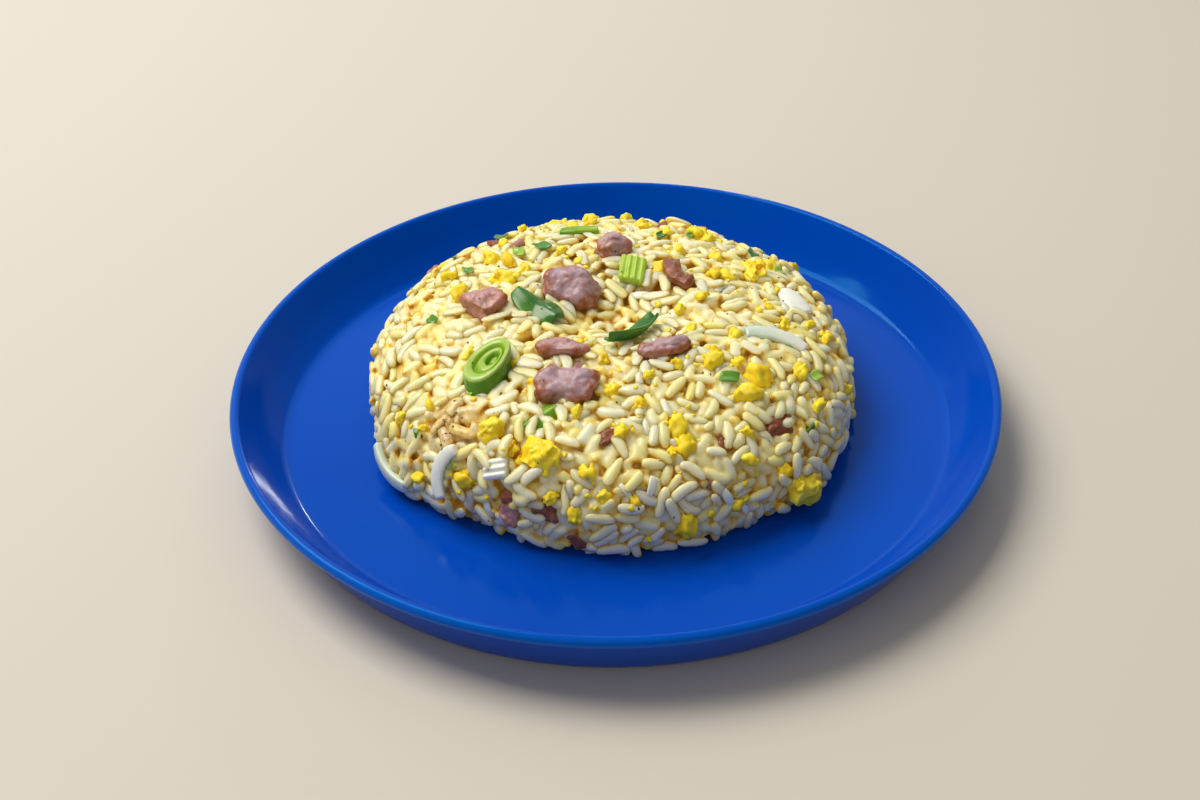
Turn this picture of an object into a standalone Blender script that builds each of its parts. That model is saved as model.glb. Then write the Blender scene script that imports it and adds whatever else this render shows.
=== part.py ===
"""Fried rice plate: a moulded mound of rice with ham, egg, scallion and onion on a deep round plate.

Metres, +Z up. The origin is the centre of the plate's foot, on the surface that the plate stands on.
The front of the plate faces -Y. Each piece of food sits in a pocket of the rice mound.
"""

import math
import random

import bmesh
import bpy
import numpy as np
from mathutils import Matrix, Vector, kdtree, noise
from mathutils.geometry import delaunay_2d_cdt

MM = 0.001
GAP = 0.3 * MM  # clearance between pieces that touch

# Plate
LIP_RADIUS = 105 * MM
LIP_HEIGHT = 18.3 * MM
BEAD_RADIUS = 1.5 * MM  # rounded edge of the lip
BEAD_TURN = (-62, 200)  # degrees where the bead's rounding starts and ends
WALL_FOOT_RADIUS = 95.8 * MM  # where the outer wall leaves the base
WALL_TOP_INSET = 2.4 * MM  # the outer wall meets the bead this far inside the lip
WALL_TOP_DROP = 3.4 * MM  # and this far below it
FLOOR_RADIUS = 91.8 * MM  # where floor and inner wall would meet in a sharp corner
FLOOR_HEIGHT = 4.4 * MM
FOLD_RADIUS = 5 * MM  # rounding between floor and inner wall
WALL_SLOPE = 50  # degrees that the inner wall rises from level
FOOT_OUTER = 93.4 * MM
FOOT_INNER = 86.5 * MM
FOOT_HEIGHT = 1.4 * MM
FOOT_BEVEL = 0.8 * MM
HEEL_INSET = 0.6 * MM  # rounding between the foot and the outer wall
HEEL_HEIGHT = 2.2 * MM
PLATE_SEGMENTS = 48

# Mound: a round, steep-sided heap with a hollow in the middle of its top
MOUND_CENTRE = Vector((-1 * MM, 6 * MM, 0))
MOUND_RADIUS = 67 * MM  # at its widest
MOUND_BASE_RADIUS = 66 * MM
MOUND_BASE = FLOOR_HEIGHT + GAP
MOUND_WIDEST = 12 * MM  # height of its widest part
MOUND_TOP = 38.3 * MM
SHOULDER = 2.6  # exponent of the rounded shoulder: 2 is a dome, more is squarer
HOLLOW_DEPTH = 7.5 * MM
HOLLOW_RADIUS = 15 * MM
SWELL = 0.7 * MM  # slow unevenness of the whole heap
SWELL_PER_METRE = 45  # how quickly it changes over the skin
SWELL_FADE = 6 * MM  # height over which it fades out at the base
SLOPE_REACH = 0.8 * MM  # the skin's slope is taken between points this far to either side
# Where the foot of the heap spreads or draws in: azimuth and half width in degrees, and reach
LOBES = ((212, 13, 3 * MM), (243, 15, -2.6 * MM), (318, 12, 2.4 * MM), (340, 14, 0.9 * MM))
LOBE_HEIGHT = 24 * MM  # the lobes fade out up to this height

# Rice: a grain is 7.6 mm long and 3.2 mm thick, and half hidden by its neighbours
GRAIN_BUMPS = 560
GRAIN_RIDGE = 4.6 * MM  # length of a grain's crest that shows
GRAIN_DEPTH = 2.3 * MM  # from the crests down to the gaps between grains
GRAIN_STAGGER = 0.8 * MM  # some crests lie this much lower than others
GRAIN_STRAY = 1.2 * MM  # how far a grain strays from its even place
BASE_CLEARANCE = 2.2 * MM  # no crest or gap lies closer to the base
GAP_POINTS = 1700
GAP_STRAY = 0.4 * MM
GAP_CLEARANCE = 2.0 * MM  # a gap's lowest point is this far from every crest
BASE_RING_POINTS = 110
CRUMB_COUNT = 22
CRUMB_SIZE = (3.2 * MM, 5.6 * MM)
CRUMB_STRAY = 3 * MM
CRUMB_SUNK = 1.4 * MM  # its middle lies this deep in the skin
LOWEST_CRUMB = 9.7 * MM

# Directions of the pieces of food are given as seen from the front, 37 degrees above level
FRONT_VIEW = Vector((0, math.cos(math.radians(37)), -math.sin(math.radians(37))))
FRONT_UP = Vector((0, math.sin(math.radians(37)), math.cos(math.radians(37))))

# Colours as red, green, blue out of 255, with roughness
GLAZE = ((12, 74, 172), 0.12)
RICE = ((226, 205, 140), 0.45)
HAM = ((172, 112, 116), 0.45)
EGG = ((248, 200, 40), 0.5)
SCALLION = ((96, 168, 52), 0.35)
SCALLION_LEAF = ((36, 106, 40), 0.35)
ONION = ((226, 232, 214), 0.3)

DRAW = random.Random(7)


def clear_scene():
    for thing in list(bpy.data.objects):
        bpy.data.objects.remove(thing, do_unlink=True)


def linear(value):
    """A colour value out of 255 on the linear scale."""
    share = value / 255
    return share / 12.92 if share <= 0.04045 else ((share + 0.055) / 1.055) ** 2.4


def material(name, finish):
    colour, roughness = finish
    made = bpy.data.materials.new(name)
    made.use_nodes = True
    shader = made.node_tree.nodes["Principled BSDF"]
    shader.inputs["Base Color"].default_value = (*map(linear, colour), 1)
    shader.inputs["Roughness"].default_value = roughness
    shader.inputs["Metallic"].default_value = 0
    return made


def add_object(name, mesh, finish, smooth=True):
    """An object from a bmesh, all in triangles, in a material of its own."""
    bmesh.ops.triangulate(mesh, faces=mesh.faces)
    bmesh.ops.recalc_face_normals(mesh, faces=mesh.faces)
    data = bpy.data.meshes.new(name)
    mesh.to_mesh(data)
    mesh.free()
    if smooth:
        data.shade_smooth()
        data.set_sharp_from_angle(angle=math.radians(50))
    data.materials.append(material(name, finish))
    thing = bpy.data.objects.new(name, data)
    bpy.context.collection.objects.link(thing)
    return thing


# The plate

def arc(centre, radius, start, end, steps):
    """Points of an arc in the (radius, height) plane, between two angles in degrees."""
    points = []
    for step in range(steps + 1):
        angle = math.radians(start + (end - start) * step / steps)
        points.append((centre[0] + radius * math.cos(angle), centre[1] + radius * math.sin(angle)))
    return points


def plate_outline():
    """Half of the plate's section, from the axis under the base, round the lip, to the axis on the floor."""
    bead_centre = (LIP_RADIUS - BEAD_RADIUS, LIP_HEIGHT - BEAD_RADIUS)
    fold_start = FLOOR_RADIUS - FOLD_RADIUS * math.tan(math.radians(WALL_SLOPE / 2))
    fold = arc((fold_start, FLOOR_HEIGHT + FOLD_RADIUS), FOLD_RADIUS, WALL_SLOPE - 90, -90, 4)
    return [
        (0, FOOT_HEIGHT),
        (FOOT_INNER, FOOT_HEIGHT),
        (FOOT_INNER + FOOT_BEVEL, 0),
        (FOOT_OUTER, 0),
        (WALL_FOOT_RADIUS - HEEL_INSET, FOOT_BEVEL / 2),
        (WALL_FOOT_RADIUS + FOOT_BEVEL, HEEL_HEIGHT),
        (LIP_RADIUS - WALL_TOP_INSET, LIP_HEIGHT - WALL_TOP_DROP),
        *arc(bead_centre, BEAD_RADIUS, *BEAD_TURN, 7),
        *fold,
        (0, FLOOR_HEIGHT),
    ]


def make_plate():
    mesh = bmesh.new()
    points = [mesh.verts.new((radius, 0, height)) for radius, height in plate_outline()]
    edges = [mesh.edges.new(pair) for pair in zip(points, points[1:])]
    bmesh.ops.spin(
        mesh, geom=points + edges, axis=(0, 0, 1), cent=(0, 0, 0),
        angle=2 * math.pi, steps=PLATE_SEGMENTS, use_merge=True,
    )
    bmesh.ops.remove_doubles(mesh, verts=mesh.verts, dist=0.01 * MM)
    return add_object("plate", mesh, GLAZE)


# The mound's shape

def mound_outline(samples=300):
    """Half of the mound's section, from the middle of the hollow over the shoulder down to the plate."""
    points = []
    for swing in np.linspace(math.pi / 2, 0, samples):
        radius = MOUND_RADIUS * max(math.cos(swing), 0) ** (2 / SHOULDER)
        height = MOUND_WIDEST + (MOUND_TOP - MOUND_WIDEST) * math.sin(swing) ** (2 / SHOULDER)
        points.append((radius, height - HOLLOW_DEPTH * math.exp(-((radius / HOLLOW_RADIUS) ** 2))))
    for share in np.linspace(0, 1, samples // 10)[1:]:
        radius = MOUND_RADIUS - (MOUND_RADIUS - MOUND_BASE_RADIUS) * share**2
        points.append((radius, MOUND_WIDEST - (MOUND_WIDEST - MOUND_BASE) * share))
    return np.array(points)


OUTLINE = mound_outline()
STEPS = np.hypot(*np.diff(OUTLINE, axis=0).T)
DOWN = np.concatenate([[0], np.cumsum(STEPS)])  # distance from the middle, measured down the skin
RADII = (OUTLINE[1:, 0] + OUTLINE[:-1, 0]) / 2
SKIN_AREA = np.concatenate([[0], np.cumsum(STEPS * RADII)])
# Radius of each ring of the skin when it is flattened into a disc that keeps small shapes true
FLATTENED = np.concatenate([[0, 1], np.exp(np.cumsum(STEPS[1:] / RADII[1:]))])
LOWEST_GRAIN = DOWN[-1] - BASE_CLEARANCE


def section_at(down):
    return (float(np.interp(down, DOWN, OUTLINE[:, 0])), float(np.interp(down, DOWN, OUTLINE[:, 1])))


def lobe(azimuth, height):
    """How far the heap's foot reaches out or in at this azimuth."""
    reach = 0
    for middle, width, most in LOBES:
        apart = (azimuth - middle + 180) % 360 - 180
        reach += most * math.exp(-((apart / width) ** 2))
    return reach * max(1 - (height / LOBE_HEIGHT) ** 2, 0)


def on_mound(azimuth, down):
    """Point on the mound's skin and its outward normal; azimuth in degrees from +X, down along the skin."""
    inner = section_at(max(down - SLOPE_REACH, 0))
    outer = section_at(min(down + SLOPE_REACH, DOWN[-1]))
    slope = Vector((outer[0] - inner[0], outer[1] - inner[1])).normalized()
    turn = math.radians(azimuth)
    away = Vector((math.cos(turn), math.sin(turn), 0))
    normal = away * -slope.y + Vector((0, 0, slope.x))
    radius, height = section_at(down)
    point = MOUND_CENTRE + away * (radius + lobe(azimuth, height)) + Vector((0, 0, height))
    fade = min(1, (height - MOUND_BASE) / SWELL_FADE)
    swell = SWELL * fade * noise.noise(point * SWELL_PER_METRE)
    return point + normal * swell, normal


def spread(count, stray):
    """Evenly spread places over the whole skin, by the golden angle, each strayed a little."""
    golden = 180 * (3 - math.sqrt(5))
    for index in range(count):
        down = float(np.interp((index + 0.5) / count * SKIN_AREA[-1], SKIN_AREA, DOWN))
        radius = max(section_at(down)[0], stray)
        azimuth = index * golden + math.degrees(DRAW.uniform(-stray, stray) / radius)
        yield azimuth, min(max(down + DRAW.uniform(-stray, stray), 0), DOWN[-1])


# The rice

def skin_point(azimuth, down, depth):
    """A point this deep under the skin, with its place on the flattened skin."""
    point, normal = on_mound(azimuth, down)
    turn = math.radians(azimuth)
    radius = float(np.interp(down, DOWN, FLATTENED))
    return (radius * math.cos(turn), radius * math.sin(turn)), point - normal * depth


def grain_crests():
    """The two ends of each grain's crest, lying any way round on the skin."""
    crests = []
    for azimuth, down in spread(GRAIN_BUMPS, GRAIN_STRAY):
        lying = DRAW.uniform(0, math.pi)
        sunk = DRAW.uniform(0, GRAIN_STAGGER)
        for half in (-GRAIN_RIDGE / 2, GRAIN_RIDGE / 2):
            end_down = abs(down + half * math.sin(lying))
            turned = math.degrees(half * math.cos(lying) / max(section_at(down)[0], GRAIN_RIDGE))
            if end_down < LOWEST_GRAIN:
                crests.append(skin_point(azimuth + turned, end_down, sunk))
    return crests


def grain_gaps(crests):
    """Low points wherever no crest is near."""
    tree = kdtree.KDTree(len(crests))
    for index, (_, crest) in enumerate(crests):
        tree.insert(crest, index)
    tree.balance()
    gaps = []
    for azimuth, down in spread(GAP_POINTS, GAP_STRAY):
        point = on_mound(azimuth, down)[0]
        if down < LOWEST_GRAIN and tree.find(point)[2] > GAP_CLEARANCE:
            gaps.append(skin_point(azimuth, down, GRAIN_DEPTH))
    return gaps


def base_ring():
    """The edge where the heap stands on the plate, with a grain's end at every other point."""
    ring = []
    for index in range(BASE_RING_POINTS):
        depth = (index % 2) * GRAIN_DEPTH / 2 + DRAW.uniform(0, 1) * MM
        place, point = skin_point(360 * index / BASE_RING_POINTS, DOWN[-1], depth)
        ring.append((place, Vector((point.x, point.y, MOUND_BASE))))
    return ring


def rice_skin():
    """The heap's skin, joined into triangles on the flattened skin, and closed by its flat base."""
    crests = grain_crests()
    ring = base_ring()
    points = crests + grain_gaps(crests) + ring
    places = [Vector(place) for place, _ in points]
    _, _, triangles, kept, _, _ = delaunay_2d_cdt(places, [], [], 0, 1e-6)
    mesh = bmesh.new()
    corners = [mesh.verts.new(points[same[0]][1]) for same in kept]
    for triangle in triangles:
        mesh.faces.new([corners[index] for index in triangle])
    edge = [corner for corner, same in zip(corners, kept) if same[0] >= len(points) - len(ring)]
    edge.sort(key=lambda corner: math.atan2(*(corner.co - MOUND_CENTRE).yx))
    mesh.faces.new(edge)
    return mesh


def crumb_mesh(azimuth, down):
    """A small bit of topping, fused to the rice."""
    mesh = bmesh.new()
    bmesh.ops.create_icosphere(mesh, subdivisions=1, radius=0.5)
    size = [DRAW.uniform(*CRUMB_SIZE) for _ in range(3)]
    point, normal = on_mound(azimuth, down)
    turned = Matrix.Rotation(DRAW.uniform(0, math.pi), 4, normal)
    place = Matrix.Translation(point - normal * CRUMB_SUNK) @ turned @ Matrix.Diagonal((*size, 1))
    bmesh.ops.transform(mesh, matrix=place, verts=mesh.verts)
    return mesh


# Pieces of food, each modelled flat: length along X, width along Y, thickness along Z

def chunk(length, width, height, squareness, roughness, seed, pinch=0, segments=10, rings=7):
    """A lump between a ball (squareness 2) and a block (6), uneven, and waisted where pinch is above 0."""
    mesh = bmesh.new()
    bmesh.ops.create_uvsphere(mesh, u_segments=segments, v_segments=rings, radius=1)
    for vertex in mesh.verts:
        way = vertex.co.normalized()
        reach = sum(abs(part) ** squareness for part in way) ** (-1 / squareness)
        reach *= 1 + roughness * noise.noise(way * 2.1 + Vector((seed * 3.7, 0, 0)))
        waist = 1 - pinch * math.exp(-((way.x / 0.3) ** 2))
        vertex.co = (
            way.x * reach * length / 2,
            way.y * reach * waist * width / 2,
            way.z * reach * (0.5 + 0.5 * waist) * height / 2,
        )
    return mesh


def loft(sections):
    """A closed skin through rings of equally many points, with a flat cap on each end."""
    mesh = bmesh.new()
    rings = [[mesh.verts.new(point) for point in section] for section in sections]
    count = len(rings[0])
    for ring, following in zip(rings, rings[1:]):
        for index in range(count):
            after = (index + 1) % count
            mesh.faces.new((ring[index], ring[after], following[after], following[index]))
    mesh.faces.new(rings[0][::-1])
    mesh.faces.new(rings[-1])
    return mesh


def strip(length, width, thickness, bend, arch=0, taper=0.35, steps=9):
    """A flat strip whose length turns through bend degrees sideways, with its ends dipped by arch."""
    sections = []
    turn = math.radians(bend) or 0.001
    radius = length / turn
    for step in range(steps + 1):
        share = 2 * step / steps - 1
        angle = turn * share / 2
        across = Vector((math.sin(angle), -math.cos(angle), 0))
        middle = Vector((radius * math.sin(angle), radius * (1 - math.cos(angle)), -arch * share * share))
        size = 1 - taper * abs(share) ** 3
        half_width = across * width * size / 2
        half_height = Vector((0, 0, thickness * (1 - 0.4 * taper * abs(share)) / 2))
        sections.append((
            middle - half_width - half_height,
            middle - half_width + half_height * 0.5,
            middle - half_width * 0.4 + half_height,
            middle + half_width * 0.6 + half_height * 0.9,
            middle + half_width + half_height * 0.3,
            middle + half_width * 0.9 - half_height,
        ))
    return loft(sections)


def leaf(length, width, thickness, fold, wave, curl, columns=8, rows=4):
    """A thin wavy sheet folded along its middle, with both faces split into triangles alike."""
    mesh = bmesh.new()
    faces = {}
    for side in (-1, 1):
        for column in range(columns + 1):
            for row in range(rows + 1):
                along = 2 * column / columns - 1
                across = 2 * row / rows - 1
                spread_out = 1 - 0.55 * abs(along) ** 2.5
                height = fold * abs(across) + wave * math.sin(3.1 * along + 1.3 * across)
                height += curl * along * along + side * thickness / 2
                place = (along * length / 2, across * spread_out * width / 2, height)
                faces[side, column, row] = mesh.verts.new(place)
    for side in (-1, 1):
        for column in range(columns):
            for row in range(rows):
                first, second = faces[side, column, row], faces[side, column + 1, row]
                third, fourth = faces[side, column + 1, row + 1], faces[side, column, row + 1]
                mesh.faces.new((first, second, third))
                mesh.faces.new((first, third, fourth))
    rim = [(column, 0) for column in range(columns)] + [(columns, row) for row in range(rows)]
    rim += [(column, rows) for column in range(columns, 0, -1)] + [(0, row) for row in range(rows, 0, -1)]
    for here, there in zip(rim, rim[1:] + rim[:1]):
        mesh.faces.new((faces[-1, *here], faces[-1, *there], faces[1, *there], faces[1, *here]))
    return mesh


def tube_slice(length, width, height, lean, segments=12):
    """A slanting slice of a layered stalk: an outer wall, a groove, and a rolled inner layer."""
    outline = [
        (0, 0), (0.80, 0), (1.0, 0.16), (1.0, 0.84), (0.92, 1.0), (0.70, 0.97),
        (0.62, 0.60), (0.50, 0.60), (0.44, 0.90), (0.24, 0.88), (0.14, 0.62), (0, 0.60),
    ]
    mesh = bmesh.new()
    points = [mesh.verts.new((radius, 0, rise)) for radius, rise in outline]
    edges = [mesh.edges.new(pair) for pair in zip(points, points[1:])]
    bmesh.ops.spin(
        mesh, geom=points + edges, axis=(0, 0, 1), cent=(0, 0, 0),
        angle=2 * math.pi, steps=segments, use_merge=True,
    )
    bmesh.ops.remove_doubles(mesh, verts=mesh.verts, dist=0.001)
    for vertex in mesh.verts:
        rise = vertex.co.z - 0.5
        vertex.co = (vertex.co.x * length / 2 + rise * lean, vertex.co.y * width / 2, rise * height)
    return mesh


def ribbed_block(length, width, height, ribs, slant):
    """A short length of stalk: a slab with ribs along its top and slanted ends."""
    section = [(-width / 2, -height / 2), (-width / 2, height * 0.2)]
    for rib in range(2 * ribs + 1):
        share = rib / (2 * ribs)
        crown = height * (0.34 + 0.16 * math.sin(math.pi * share))
        section.append(((share - 0.5) * width * 0.94, crown if rib % 2 else crown - 0.12 * height))
    section += [(width / 2, height * 0.2), (width / 2, -height / 2)]
    ends = []
    for end in (-0.5, 0.5):
        ends.append([(end * length + slant * y / width, y, z) for y, z in section])
    return loft(ends)


def lie(mesh, azimuth, down, turn, rise, tilt=0):
    """Moves a piece to its place on the mound.

    down is in millimetres. turn is the way its length points as seen from the front, in degrees from level,
    rise is the height of its middle over the skin, and tilt rolls it about its length.
    """
    point, normal = on_mound(azimuth, down * MM)
    angle = math.radians(turn)
    seen = Vector((math.cos(angle), 0, 0)) + FRONT_UP * math.sin(angle)
    along = (seen - FRONT_VIEW * (seen.dot(normal) / FRONT_VIEW.dot(normal))).normalized()
    across = normal.cross(along)
    place = Matrix((along, across, normal)).transposed().to_4x4()
    place = Matrix.Translation(point + normal * rise) @ place
    place = place @ Matrix.Rotation(math.radians(tilt), 4, "X")
    bmesh.ops.transform(mesh, matrix=place, verts=mesh.verts)
    return mesh


def ham_pieces():
    """Diced ham, on the crest round the hollow and in the flanks."""
    yield "ham_1", lie(chunk(15.6 * MM, 12.6 * MM, 7 * MM, 3, 0.10, 1), 133, 16, -12, 0.2 * MM, 6)
    yield "ham_2", lie(chunk(15.8 * MM, 12 * MM, 8 * MM, 3.2, 0.16, 2, pinch=0.2), 252, 38, -4, -0.2 * MM)
    yield "ham_3", lie(chunk(12 * MM, 10.6 * MM, 7 * MM, 3, 0.22, 3), 176, 35.2, -30, 0)
    yield "ham_4", lie(chunk(10 * MM, 8 * MM, 6.4 * MM, 3, 0.2, 4), 88, 29, 15, 0.2 * MM)
    yield "ham_5", lie(strip(12.5 * MM, 4.6 * MM, 4.4 * MM, 85, taper=0.1), 39, 24, -55, 0)
    yield "ham_6", lie(chunk(14 * MM, 7.6 * MM, 3.6 * MM, 3, 0.2, 6), 238, 25, -8, 0.4 * MM, -14)
    yield "ham_7", lie(chunk(14 * MM, 6.6 * MM, 4.4 * MM, 3.4, 0.2, 7, pinch=0.12), 305, 26, 18, 0.4 * MM, 8)
    yield "ham_8", lie(chunk(8.4 * MM, 7.4 * MM, 5 * MM, 2.6, 0.25, 8), 246, 79, 60, -0.8 * MM)
    yield "ham_9", lie(chunk(12 * MM, 9 * MM, 6 * MM, 3, 0.2, 9), 66, 73, 15, -0.6 * MM)
    yield "ham_10", lie(chunk(11 * MM, 9 * MM, 6 * MM, 3, 0.2, 10), 141, 74, -40, -0.6 * MM)


def egg_pieces():
    """Crumbly scrambled egg."""
    yield "egg_1", lie(chunk(11 * MM, 9.4 * MM, 7 * MM, 2.6, 0.45, 21), 251.5, 60, -20, 0)
    yield "egg_2", lie(chunk(12.4 * MM, 8.4 * MM, 6.4 * MM, 3.4, 0.3, 22), 316.6, 81, -12, 0.8 * MM)
    yield "egg_3", lie(chunk(9.4 * MM, 8.4 * MM, 6 * MM, 2.8, 0.4, 23), 27, 47, -40, 0)
    yield "egg_4", lie(chunk(6.8 * MM, 6 * MM, 5.4 * MM, 2.4, 0.3, 24), 237, 57.5, 10, 0.4 * MM)
    yield "egg_5", lie(chunk(11 * MM, 8 * MM, 6 * MM, 2.6, 0.4, 25), 106, 71, 20, -0.4 * MM)


def scallion_pieces():
    """Scallion: a slanting slice of stalk, a ribbed length and two folded trimmings."""
    yield "scallion_1", lie(tube_slice(16.5 * MM, 11.5 * MM, 6.5 * MM, 3 * MM), 220, 43, 50, 0.3 * MM, -8)
    yield "scallion_3", lie(ribbed_block(9.4 * MM, 7.6 * MM, 4 * MM, 4, 1.6 * MM), 70, 19.5, 80, 0.8 * MM)
    yield "scallion_5", lie(strip(11 * MM, 4 * MM, 3 * MM, 10, arch=0.4 * MM), 102, 43, 2, 0.2 * MM)
    yield "scallion_6", lie(strip(10 * MM, 5 * MM, 3 * MM, -40, arch=0.8 * MM), 248, 49.5, 30, 0)


def scallion_leaves():
    """Darker green leaves of scallion, folded and curled."""
    yield "scallion_2", lie(
        leaf(15.8 * MM, 9 * MM, 1.2 * MM, -2.4 * MM, 0.5 * MM, -0.8 * MM), 178, 20.8, -38, 1.4 * MM)
    yield "scallion_4", lie(
        leaf(19 * MM, 6.4 * MM, 1 * MM, 1.6 * MM, 0.7 * MM, 1 * MM), 296, 16.5, 27, 0.6 * MM, -20)
    yield "scallion_7", lie(
        leaf(13 * MM, 7 * MM, 1 * MM, -1.5 * MM, 0.5 * MM, -1 * MM), 34, 70, 40, -0.6 * MM)


def onion_pieces():
    """Onion and white leek: slabs, a block and curved strips of ring."""
    yield "onion_1", lie(strip(11 * MM, 6.4 * MM, 2.6 * MM, 18, arch=0.6 * MM), 9, 53, -52, -0.3 * MM, 12)
    yield "onion_2", lie(strip(17.5 * MM, 4.6 * MM, 2.2 * MM, -45, arch=0.9 * MM), 346.3, 47, -16, 0.1 * MM)
    yield "onion_3", lie(strip(16 * MM, 3.4 * MM, 3 * MM, 95, arch=0.5 * MM), 228, 72, 252, 0.2 * MM)
    yield "onion_4", lie(strip(17 * MM, 4.2 * MM, 2.6 * MM, 42, arch=1.6 * MM), 212, 82.3, -52, 0.6 * MM)
    yield "onion_5", lie(ribbed_block(6.6 * MM, 5.4 * MM, 4 * MM, 3, 0.6 * MM), 242.3, 66.2, 8, 0)
    yield "onion_6", lie(strip(13 * MM, 5 * MM, 2.4 * MM, 50, arch=0.9 * MM), 122, 77, 70, 0)


def add_pieces():
    """Every piece of food as an object."""
    kinds = (
        (ham_pieces, HAM, True), (egg_pieces, EGG, True), (scallion_pieces, SCALLION, False),
        (scallion_leaves, SCALLION_LEAF, False), (onion_pieces, ONION, True),
    )
    made = []
    for pieces, finish, smooth in kinds:
        for name, mesh in pieces():
            made.append(add_object(name, mesh, finish, smooth))
    return made


# The mound with its pockets

def swollen(thing):
    """A copy of a piece, larger by the gap on every side."""
    mesh = bmesh.new()
    mesh.from_mesh(thing.data)
    mesh.normal_update()
    moves = [(vertex, vertex.normal * vertex.calc_shell_factor() * GAP) for vertex in mesh.verts]
    for vertex, move in moves:
        vertex.co += move
    return add_object("pocket_" + thing.name, mesh, RICE)


def combine(target, tools, operation):
    """One Boolean of the target with all the tools, applied; the tools are removed."""
    group = bpy.data.collections.new(operation.lower())
    bpy.context.scene.collection.children.link(group)
    for tool in tools:
        tool.hide_render = True
        tool.display_type = "WIRE"
        bpy.context.collection.objects.unlink(tool)
        group.objects.link(tool)
    boolean = target.modifiers.new(operation.lower(), "BOOLEAN")
    boolean.operation = operation
    boolean.operand_type = "COLLECTION"
    boolean.collection = group
    boolean.solver = "EXACT"
    evaluated = target.evaluated_get(bpy.context.evaluated_depsgraph_get())
    result = bpy.data.meshes.new_from_object(evaluated)
    target.modifiers.clear()
    target.data = result
    for tool in tools:
        bpy.data.objects.remove(tool, do_unlink=True)
    bpy.data.collections.remove(group)


def keep_largest_body(thing):
    """Drops the loose scraps that the pockets cut off."""
    mesh = bmesh.new()
    mesh.from_mesh(thing.data)
    left = set(mesh.verts)
    bodies = []
    while left:
        body, reached = set(), [left.pop()]
        while reached:
            vertex = reached.pop()
            body.add(vertex)
            near = {edge.other_vert(vertex) for edge in vertex.link_edges} & left
            left -= near
            reached.extend(near)
        bodies.append(body)
    largest = max(bodies, key=len)
    scraps = [vertex for body in bodies if body is not largest for vertex in body]
    bmesh.ops.delete(mesh, geom=scraps, context="VERTS")
    mesh.to_mesh(thing.data)
    mesh.free()


def make_mound(pieces):
    mound = add_object("rice_mound", rice_skin(), RICE, smooth=False)
    crumbs = []
    for azimuth, down in spread(CRUMB_COUNT, CRUMB_STRAY):
        if section_at(down)[1] > LOWEST_CRUMB:
            crumbs.append(add_object("crumb", crumb_mesh(azimuth, down), EGG))
    combine(mound, crumbs, "UNION")
    combine(mound, [swollen(piece) for piece in pieces], "DIFFERENCE")
    keep_largest_body(mound)
    return mound


clear_scene()
make_plate()
make_mound(add_pieces())
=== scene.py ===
"""Fried rice plate: a glazed blue plate and a moulded mound of rice with its toppings.

Metres, +Z up, in the frame of the solids. The front of the plate faces -Y.
"""
import math
import random

import bpy
import numpy as np
from mathutils import Matrix, Vector, noise
from mathutils.bvhtree import BVHTree
from mathutils.kdtree import KDTree


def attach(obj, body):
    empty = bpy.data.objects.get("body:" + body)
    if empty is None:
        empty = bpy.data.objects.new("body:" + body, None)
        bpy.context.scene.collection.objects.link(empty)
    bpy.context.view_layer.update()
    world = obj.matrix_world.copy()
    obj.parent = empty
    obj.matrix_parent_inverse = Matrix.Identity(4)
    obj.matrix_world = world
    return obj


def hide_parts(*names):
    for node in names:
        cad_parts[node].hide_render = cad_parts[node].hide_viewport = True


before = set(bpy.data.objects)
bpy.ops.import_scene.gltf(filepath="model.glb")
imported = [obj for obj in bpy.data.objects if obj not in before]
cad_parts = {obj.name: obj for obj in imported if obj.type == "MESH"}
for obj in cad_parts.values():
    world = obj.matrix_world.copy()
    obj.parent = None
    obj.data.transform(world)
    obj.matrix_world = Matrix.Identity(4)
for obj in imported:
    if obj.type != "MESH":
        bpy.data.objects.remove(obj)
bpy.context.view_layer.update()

MM = 0.001
DRAW = random.Random(11)

# Plate, as in the solids
LIP_RADIUS = 105 * MM
LIP_HEIGHT = 18.3 * MM
BEAD_RADIUS = 1.5 * MM
WALL_FOOT_RADIUS = 95.8 * MM
WALL_TOP_INSET = 2.4 * MM
WALL_TOP_DROP = 3.4 * MM
FLOOR_RADIUS = 91.8 * MM
FLOOR_HEIGHT = 4.4 * MM
FOLD_RADIUS = 5 * MM
WALL_SLOPE = 50
FOOT_OUTER = 93.4 * MM
FOOT_INNER = 86.5 * MM
FOOT_HEIGHT = 1.4 * MM
PLATE_SIDES = 160

# Mound, as in the solids
MOUND_CENTRE = Vector((-1 * MM, 6 * MM, 0))
MOUND_RADIUS = 67 * MM
MOUND_BASE_RADIUS = 66 * MM
MOUND_BASE = FLOOR_HEIGHT + 0.3 * MM
MOUND_WIDEST = 12 * MM
MOUND_TOP = 38.3 * MM
SHOULDER = 2.6
HOLLOW_DEPTH = 7.5 * MM
HOLLOW_RADIUS = 15 * MM
SWELL = 0.7 * MM
LOBES = ((212, 13, 3 * MM), (243, 15, -2.6 * MM), (318, 12, 2.4 * MM), (340, 14, 0.9 * MM))
LOBE_HEIGHT = 24 * MM

# Rice: cooked short grains
GRAINS = 3800
GRAIN_LENGTH = (6.2 * MM, 8.9 * MM)
GRAIN_THICKNESS = (2.9 * MM, 3.6 * MM)
PRESSED = 0.84  # share of their thickness at which two grains rest on each other
BLUNTNESS = 2.5  # 2 would be a plain ellipse
LAYER = 6.2 * MM  # how deep real grains lie under the skin
CORE_DEPTH = (3.1 * MM, 3.5 * MM)  # on top and at the sides
SETTLING_ROUNDS = 60
LOOSE_SHARE = (0.6, 0.65)  # of the outermost grains, on top and at the sides
SUNKEN_SIZE = 0.84  # of a loose grain's double in the pressed mass
TOASTED = (225, 60.5, 9 * MM)  # a patch of browned rice: azimuth, millimetres down, reach
FUSING = 0.46 * MM
MOST_TRIANGLES = 196000

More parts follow.
